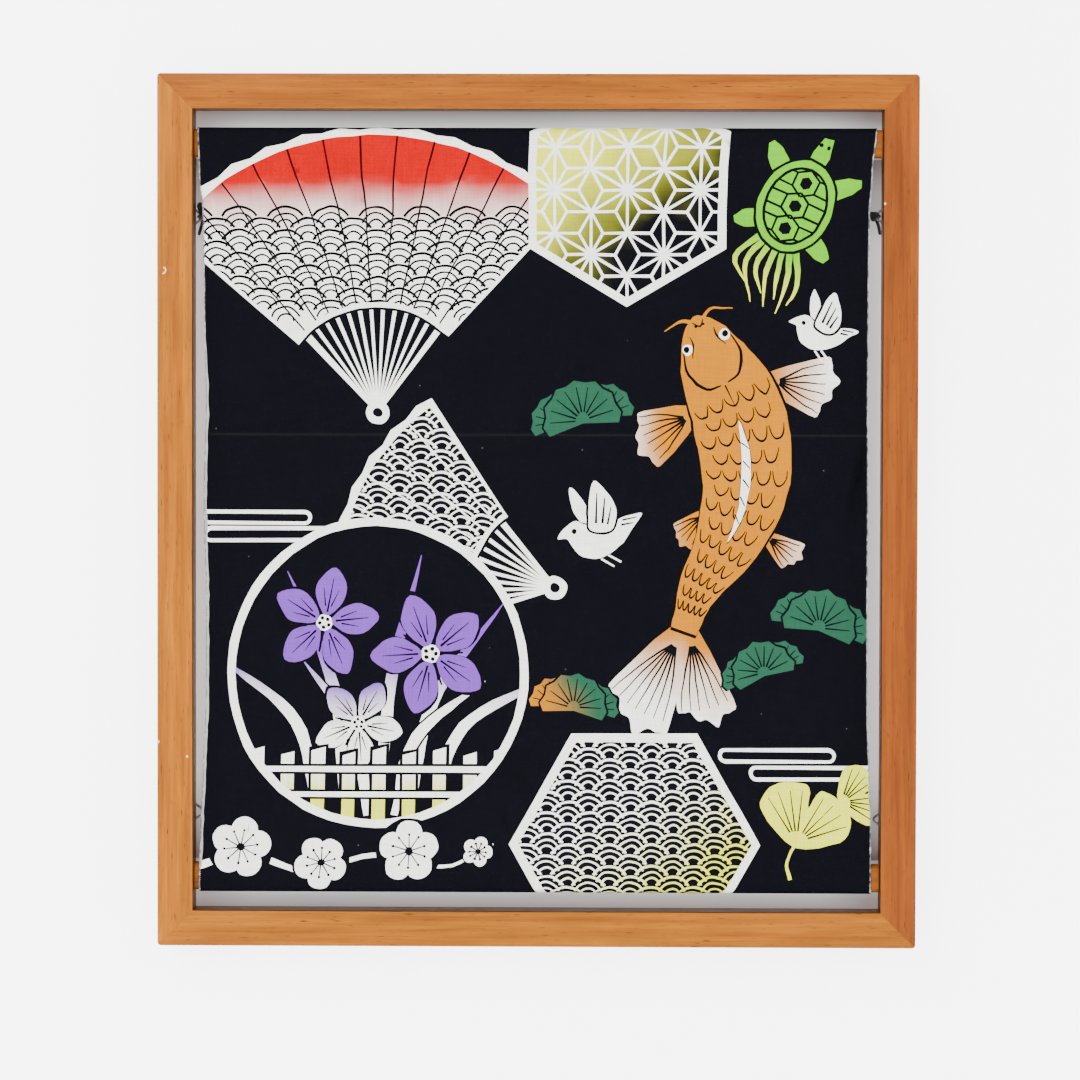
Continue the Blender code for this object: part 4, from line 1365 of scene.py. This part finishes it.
def selvedge(name, side, material):
    """The turned weft threads along one side edge, as small uneven loops."""
    pieces = []
    for i in range(THREAD_COUNT):
        t = T_FIRST + (T_LAST - T_FIRST) * (i + 0.5) / THREAD_COUNT
        wobble = noise.noise(Vector((i * 0.37, side * 5.0, 0.0)))
        reach = THREAD_REACH + THREAD_SWING * abs(wobble)
        above, edge, below = (cloth_place(side * HALF_CLOTH, t + d * THREAD_SPREAD) for d in (-1, 0, 1))
        out = Vector((side * reach, 0.0, 0.0))
        lift = Vector((0.0, -0.0001, 0.0)) * wobble
        inner, outer = out * 0.6, out * 0.5
        route = [above - inner, above + outer, edge + out + lift, below + outer, below - inner]
        pieces.append(sweep(route, THREAD_RADIUS, sides=4))
    piece = add_object(name, joined_mesh(name, pieces), material)
    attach(piece, "root")
    return piece


# The frame


def painted_shade_layer(mesh, shade_of):
    """Stores a painted shade for each corner, as a colour that darkens the wood."""
    layer = mesh.color_attributes.new("depth", "FLOAT_COLOR", "CORNER")
    values = []
    for face in mesh.polygons:
        for index in face.vertices:
            lit = shade_of(mesh.vertices[index].co, face.normal)
            values += (lit, lit, lit, 1.0)
    layer.data.foreach_set("color", values)


def member_painted_shade(spot, normal):
    """Painted shade: the faces that look into the opening are darkened, as the photograph shows them."""
    inward_x = -normal.x if spot.x > 0 else normal.x
    inward_z = -normal.z if spot.z > BOTTOM_Z / 2 else normal.z
    edge = MEMBER_WIDTH * INNER_FACE_SHARE
    by_opening = abs(spot.x) < INNER_X + MEMBER_ROUND and BOTTOM_Z + edge < spot.z < TOP_Z - edge
    return INNER_FACE_PAINTED_SHADE if max(inward_x, inward_z) > INNER_FACE_TURN and by_opening else 1.0


def wooden(name, points, count, shade_of, wood):
    """A wooden piece from rings of points, in place of its solid."""
    mesh = mesh_from(f"wood_{name}", points, ring_faces(len(points) // count, count))
    mesh.set_sharp_from_angle(angle=SHARP_ANGLE)
    painted_shade_layer(mesh, shade_of)
    return carry(add_object(f"wood_{name}", mesh, wood), name)


def rounded_rectangle(width, depth, radius, steps=5):
    """Points round a rectangle from (0, 0) to (width, depth), its corners rounded."""
    far_a, far_b = width - radius, depth - radius
    points = []
    for a, b, start in ((far_a, radius, -90), (far_a, far_b, 0), (radius, far_b, 90), (radius, radius, 180)):
        for step in range(steps + 1):
            angle = math.radians(start + 90 * step / steps)
            points.append((a + radius * math.cos(angle), b + radius * math.sin(angle)))
    return points


def corner_pull(inward, to_end):
    """How far a point near the frame's outer corner is drawn in. to_end is its distance from the end."""
    into = CORNER_ROUND - to_end
    if into <= 0 or inward >= CORNER_ROUND:
        return 0.0
    into = min(into, CORNER_ROUND * 0.999)
    return (CORNER_ROUND - math.sqrt(CORNER_ROUND**2 - into**2)) * (1 - inward / CORNER_ROUND)


def member_point(name, along, inward, deep):
    """The place of a member's point, from how far it is along, in from the frame's edge and forward."""
    if name == "rail_top":
        return (along, -deep, TOP_Z - inward)
    if name == "rail_bottom":
        return (along, -deep, BOTTOM_Z + inward)
    x = HALF_WIDTH - inward
    return (x if name == "stile_right" else -x, -deep, MIDDLE_Z + along)


def member(name, grain_axis, light, deep_colour, seed):
    """A mitred member with eased edges and its outer corners rounded."""
    profile = rounded_rectangle(MEMBER_WIDTH, FRAME_DEPTH, MEMBER_ROUND)
    full = HALF_WIDTH if grain_axis == 0 else HALF_HEIGHT
    half = full - MITRE_SETBACK * math.sqrt(2)
    start = full - 2 * MEMBER_WIDTH
    points = []
    for sign, order in ((-1, reversed(RING_SHARES)), (1, RING_SHARES)):
        for share in order:
            for inward, deep in profile:
                end = half - inward
                for _ in range(MITRE_TRIES):
                    end = (end + half - inward - corner_pull(inward, full - end)) / 2
                along = start + (end - start) * share
                pulled = inward + corner_pull(inward, full - along)
                points.append(member_point(name, sign * along, pulled, deep))
    wood = wood_material(f"wood_{name}", grain_axis, light, deep_colour, seed, MARKS.get(name, ()))
    wooden(name, points, len(profile), member_painted_shade, wood)


def crossbar(name, low, high):
    """A bar that the towel goes round."""
    profile = rounded_rectangle(BAR_BACK_Y - BAR_FRONT_Y, high[2] - low[2], BAR_ROUND)
    points = [(x, BAR_FRONT_Y + across, low[2] + up) for x in (low[0], high[0]) for across, up in profile]
    wood = wood_material(f"wood_{name}", 0, BAR_LIGHT, BAR_DEEP, BAR_SEEDS[name])
    wooden(name, points, len(profile), lambda spot, normal: 1.0, wood)


# Hangers and cord


def rounded_corner(before, corner, after, radius, steps=8):
    """Points round a corner of the given radius."""
    towards = (before - corner).normalized()
    away = (after - corner).normalized()
    half = towards.angle(away) / 2
    centre = corner + (towards + away).normalized() * (radius / math.sin(half))
    first = corner + towards * (radius / math.tan(half)) - centre
    last = corner + away * (radius / math.tan(half)) - centre
    turn = first.angle(last)
    points = []
    for i in range(steps + 1):
        done = turn * i / steps
        points.append(centre + (first * math.sin(turn - done) + last * math.sin(done)) / math.sin(turn))
    return points


def hanger_rings(nickel):
    """The wire triangles, in place of their solids. The plates and screws keep theirs."""
    lost = RING_CORNER_RADIUS * (1 / math.sin(RING_HALF_ANGLE) - 1)
    half_base = RING_HEIGHT * math.tan(RING_HALF_ANGLE)
    for label, side, tip_x, tip_z in HANGERS:
        base_x = side * (tip_x + WIRE_RADIUS - lost + RING_HEIGHT)
        corners = [
            Vector((base_x - side * RING_HEIGHT, RING_Y, tip_z)),
            Vector((base_x, RING_Y, tip_z + half_base)),
            Vector((base_x, RING_Y, tip_z - half_base)),
        ]
        points = []
        for i in range(3):
            points += rounded_corner(corners[i - 1], corners[i], corners[(i + 1) % 3], RING_CORNER_RADIUS)
        name = f"wire_ring_{label}"
        wire = joined_mesh(name, [sweep(points, WIRE_RADIUS, cyclic=True, sides=16)])
        carry(add_object(name, wire, nickel), f"hanger_ring_{label}")
        for part in ("plate", "screw"):
            for slot in bpy.data.objects[f"hanger_{part}_{label}"].material_slots:
                slot.material = nickel


def circle_angles(count):
    """Even angles round a circle."""
    return [2 * math.pi * i / count for i in range(count)]


def knot(label, hanger, centre, radii, tail, black):
    """A tied knot: its crossing turns, the eye round the ring's point, and the tail."""
    side, tip_x, tip_z = {name: rest for name, *rest in HANGERS}[hanger]
    middle = Vector(centre)
    across, deep, up = (radius - CORD_RADIUS for radius in radii)
    turns = []
    for a in circle_angles(72):
        x = across * (math.sin(a) + 2 * math.sin(2 * a)) / 2.6
        z = up * (math.cos(a) - 2 * math.cos(2 * a)) / 2.6
        turns.append(middle + Vector((x, deep * -math.sin(3 * a), z)))
    eye_middle = Vector((side * (tip_x + WIRE_RADIUS), RING_Y, tip_z))
    tilt = Matrix.Rotation(-KNOT_EYE_TILT, 3, "X")
    eye = []
    for a in circle_angles(32):
        eye.append(eye_middle + tilt @ (Vector((math.cos(a), math.sin(a), 0.0)) * KNOT_EYE_RADIUS))
    tail_points = smooth_route(tail, 8)
    tail_radii = [TAIL_RADIUS] * (len(tail_points) - 2) + [TAIL_RADIUS * 0.9, TAIL_RADIUS * 0.6]
    core = [middle + Vector((0, 0, radii[2] * share)) for share, _ in KNOT_CORE]
    pieces = [
        sweep(turns, CORD_RADIUS * 0.92, cyclic=True),
        sweep(eye, TAIL_RADIUS, cyclic=True),
        sweep(tail_points, tail_radii),
        sweep(core, [radius for _, radius in KNOT_CORE]),
    ]
    name = f"tied_knot_{label}"
    return carry(add_object(name, joined_mesh(name, pieces), black), f"cord_knot_{label}")


def cord_route():
    """The cord from knot to knot, straight up to the hook's place and down again."""
    left, right = Vector(CORD_LEFT_END), Vector(CORD_RIGHT_END)
    hook = Vector((0.0, CORD_Y, HOOK_Z))
    left_turn = hook.lerp(left, HOOK_RUN / (left - hook).length)
    right_turn = hook.lerp(right, HOOK_RUN / (right - hook).length)
    top = hook.lerp((left_turn + right_turn) / 2, HOOK_DROP)
    route = [left.lerp(left_turn, share) for share in (0.0, 0.25, 0.5, 0.75, 0.94, 1.0)]
    return route + [top] + [right_turn.lerp(right, share) for share in (0.0, 0.06, 0.25, 0.5, 0.75, 1.0)]


def hanging_cord(black, knots):
    """The cord that the frame hangs by."""
    curve = bpy.data.curves.new("hang_cord", "CURVE")
    curve.dimensions = "3D"
    curve.bevel_depth = CORD_RADIUS
    curve.bevel_resolution = 4
    curve.use_fill_caps = True
    points = smooth_route(cord_route(), 6)
    spline = curve.splines.new("POLY")
    spline.points.add(len(points) - 1)
    for spot, point in zip(spline.points, points):
        spot.co = (*point, 1.0)
    length = sum((b - a).length for a, b in zip(points, points[1:]))
    piece = carry(add_object("hang_cord", curve, black), "hanging_cord")


# Stage, lights and camera


def quad(name, corners, material):
    """A flat stage surface."""
    mesh = bpy.data.meshes.new(name)
    mesh.from_pydata(corners, [], [[0, 1, 2, 3]])
    add_object(name, mesh, material)


def stage():
    """A pale wall behind the frame, with painted shade where it is seen through the frame, and a pale floor
    below it.
    """
    low, high = (-STAGE_REACH, WALL_Y, FLOOR_Z), (STAGE_REACH, WALL_Y, FLOOR_Z)
    wall = [low, high, (STAGE_REACH, WALL_Y, WALL_TOP), (-STAGE_REACH, WALL_Y, WALL_TOP)]
    quad("stage_wall", wall, stage_material("pale_wall", WALL_COLOUR, WALL_GLOW, with_painted_shade=True))
    floor = [low, (-STAGE_REACH, FLOOR_FRONT, FLOOR_Z), (STAGE_REACH, FLOOR_FRONT, FLOOR_Z), high]
    quad("stage_floor", floor, stage_material("pale_floor", FLOOR_COLOUR, FLOOR_GLOW))


def area_light(name, place, size, power, colour):
    """A soft square light aimed at the middle of the frame."""
    lamp = bpy.data.lights.new(name, "AREA")
    lamp.size = size
    lamp.energy = power
    lamp.color = colour
    thing = bpy.data.objects.new(name, lamp)
    thing.location = place
    aim = Vector((0.0, 0.0, -0.2)) - Vector(place)
    thing.rotation_euler = aim.to_track_quat("-Z", "Y").to_euler()
    bpy.context.scene.collection.objects.link(thing)


def lights():
    """Soft light from the front and above, a little stronger from the left."""
    area_light("key_light", (-1.3, -2.2, 1.1), 1.8, 112.0, (1.0, 0.985, 0.96))
    area_light("fill_light", (1.7, -2.4, 0.2), 2.2, 56.0, (0.96, 0.98, 1.0))
    area_light("back_light", (0.4, 2.4, 0.9), 2.0, 120.0, (1.0, 1.0, 1.0))
    world = bpy.data.worlds.new("soft_world")
    world.use_nodes = True
    sky = world.node_tree.nodes["Background"]
    sky.inputs[0].default_value = WORLD_COLOUR
    sky.inputs[1].default_value = WORLD_STRENGTH
    bpy.context.scene.world = world


def camera():
    """The camera that took the photograph's view."""
    data = bpy.data.cameras.new("photo_camera")
    data.lens = CAMERA_LENS
    data.sensor_width = CAMERA_SENSOR
    data.clip_end = CAMERA_REACH
    thing = bpy.data.objects.new("photo_camera", data)
    thing.location = CAMERA_PLACE
    thing.rotation_euler = CAMERA_TURN
    bpy.context.scene.collection.objects.link(thing)
    bpy.context.scene.camera = thing


def build():
    """Everything that shows."""
    camera()
    nickel, black = metal_material(), cord_material()
    hanging_cord(black, [knot(*row, black) for row in KNOTS])
    cloth, thread = towel(cloth_material()), thread_material()
    edges = [selvedge("selvedge_left", -1, thread), selvedge("selvedge_right", 1, thread)]
    for row in MEMBERS:
        member(*row)
    crossbar("crossbar_top", TOP_BAR_LOW, TOP_BAR_HIGH)
    crossbar("crossbar_bottom", LOW_BAR_LOW, LOW_BAR_HIGH)
    hanger_rings(nickel)
    stage()
    lights()


build()
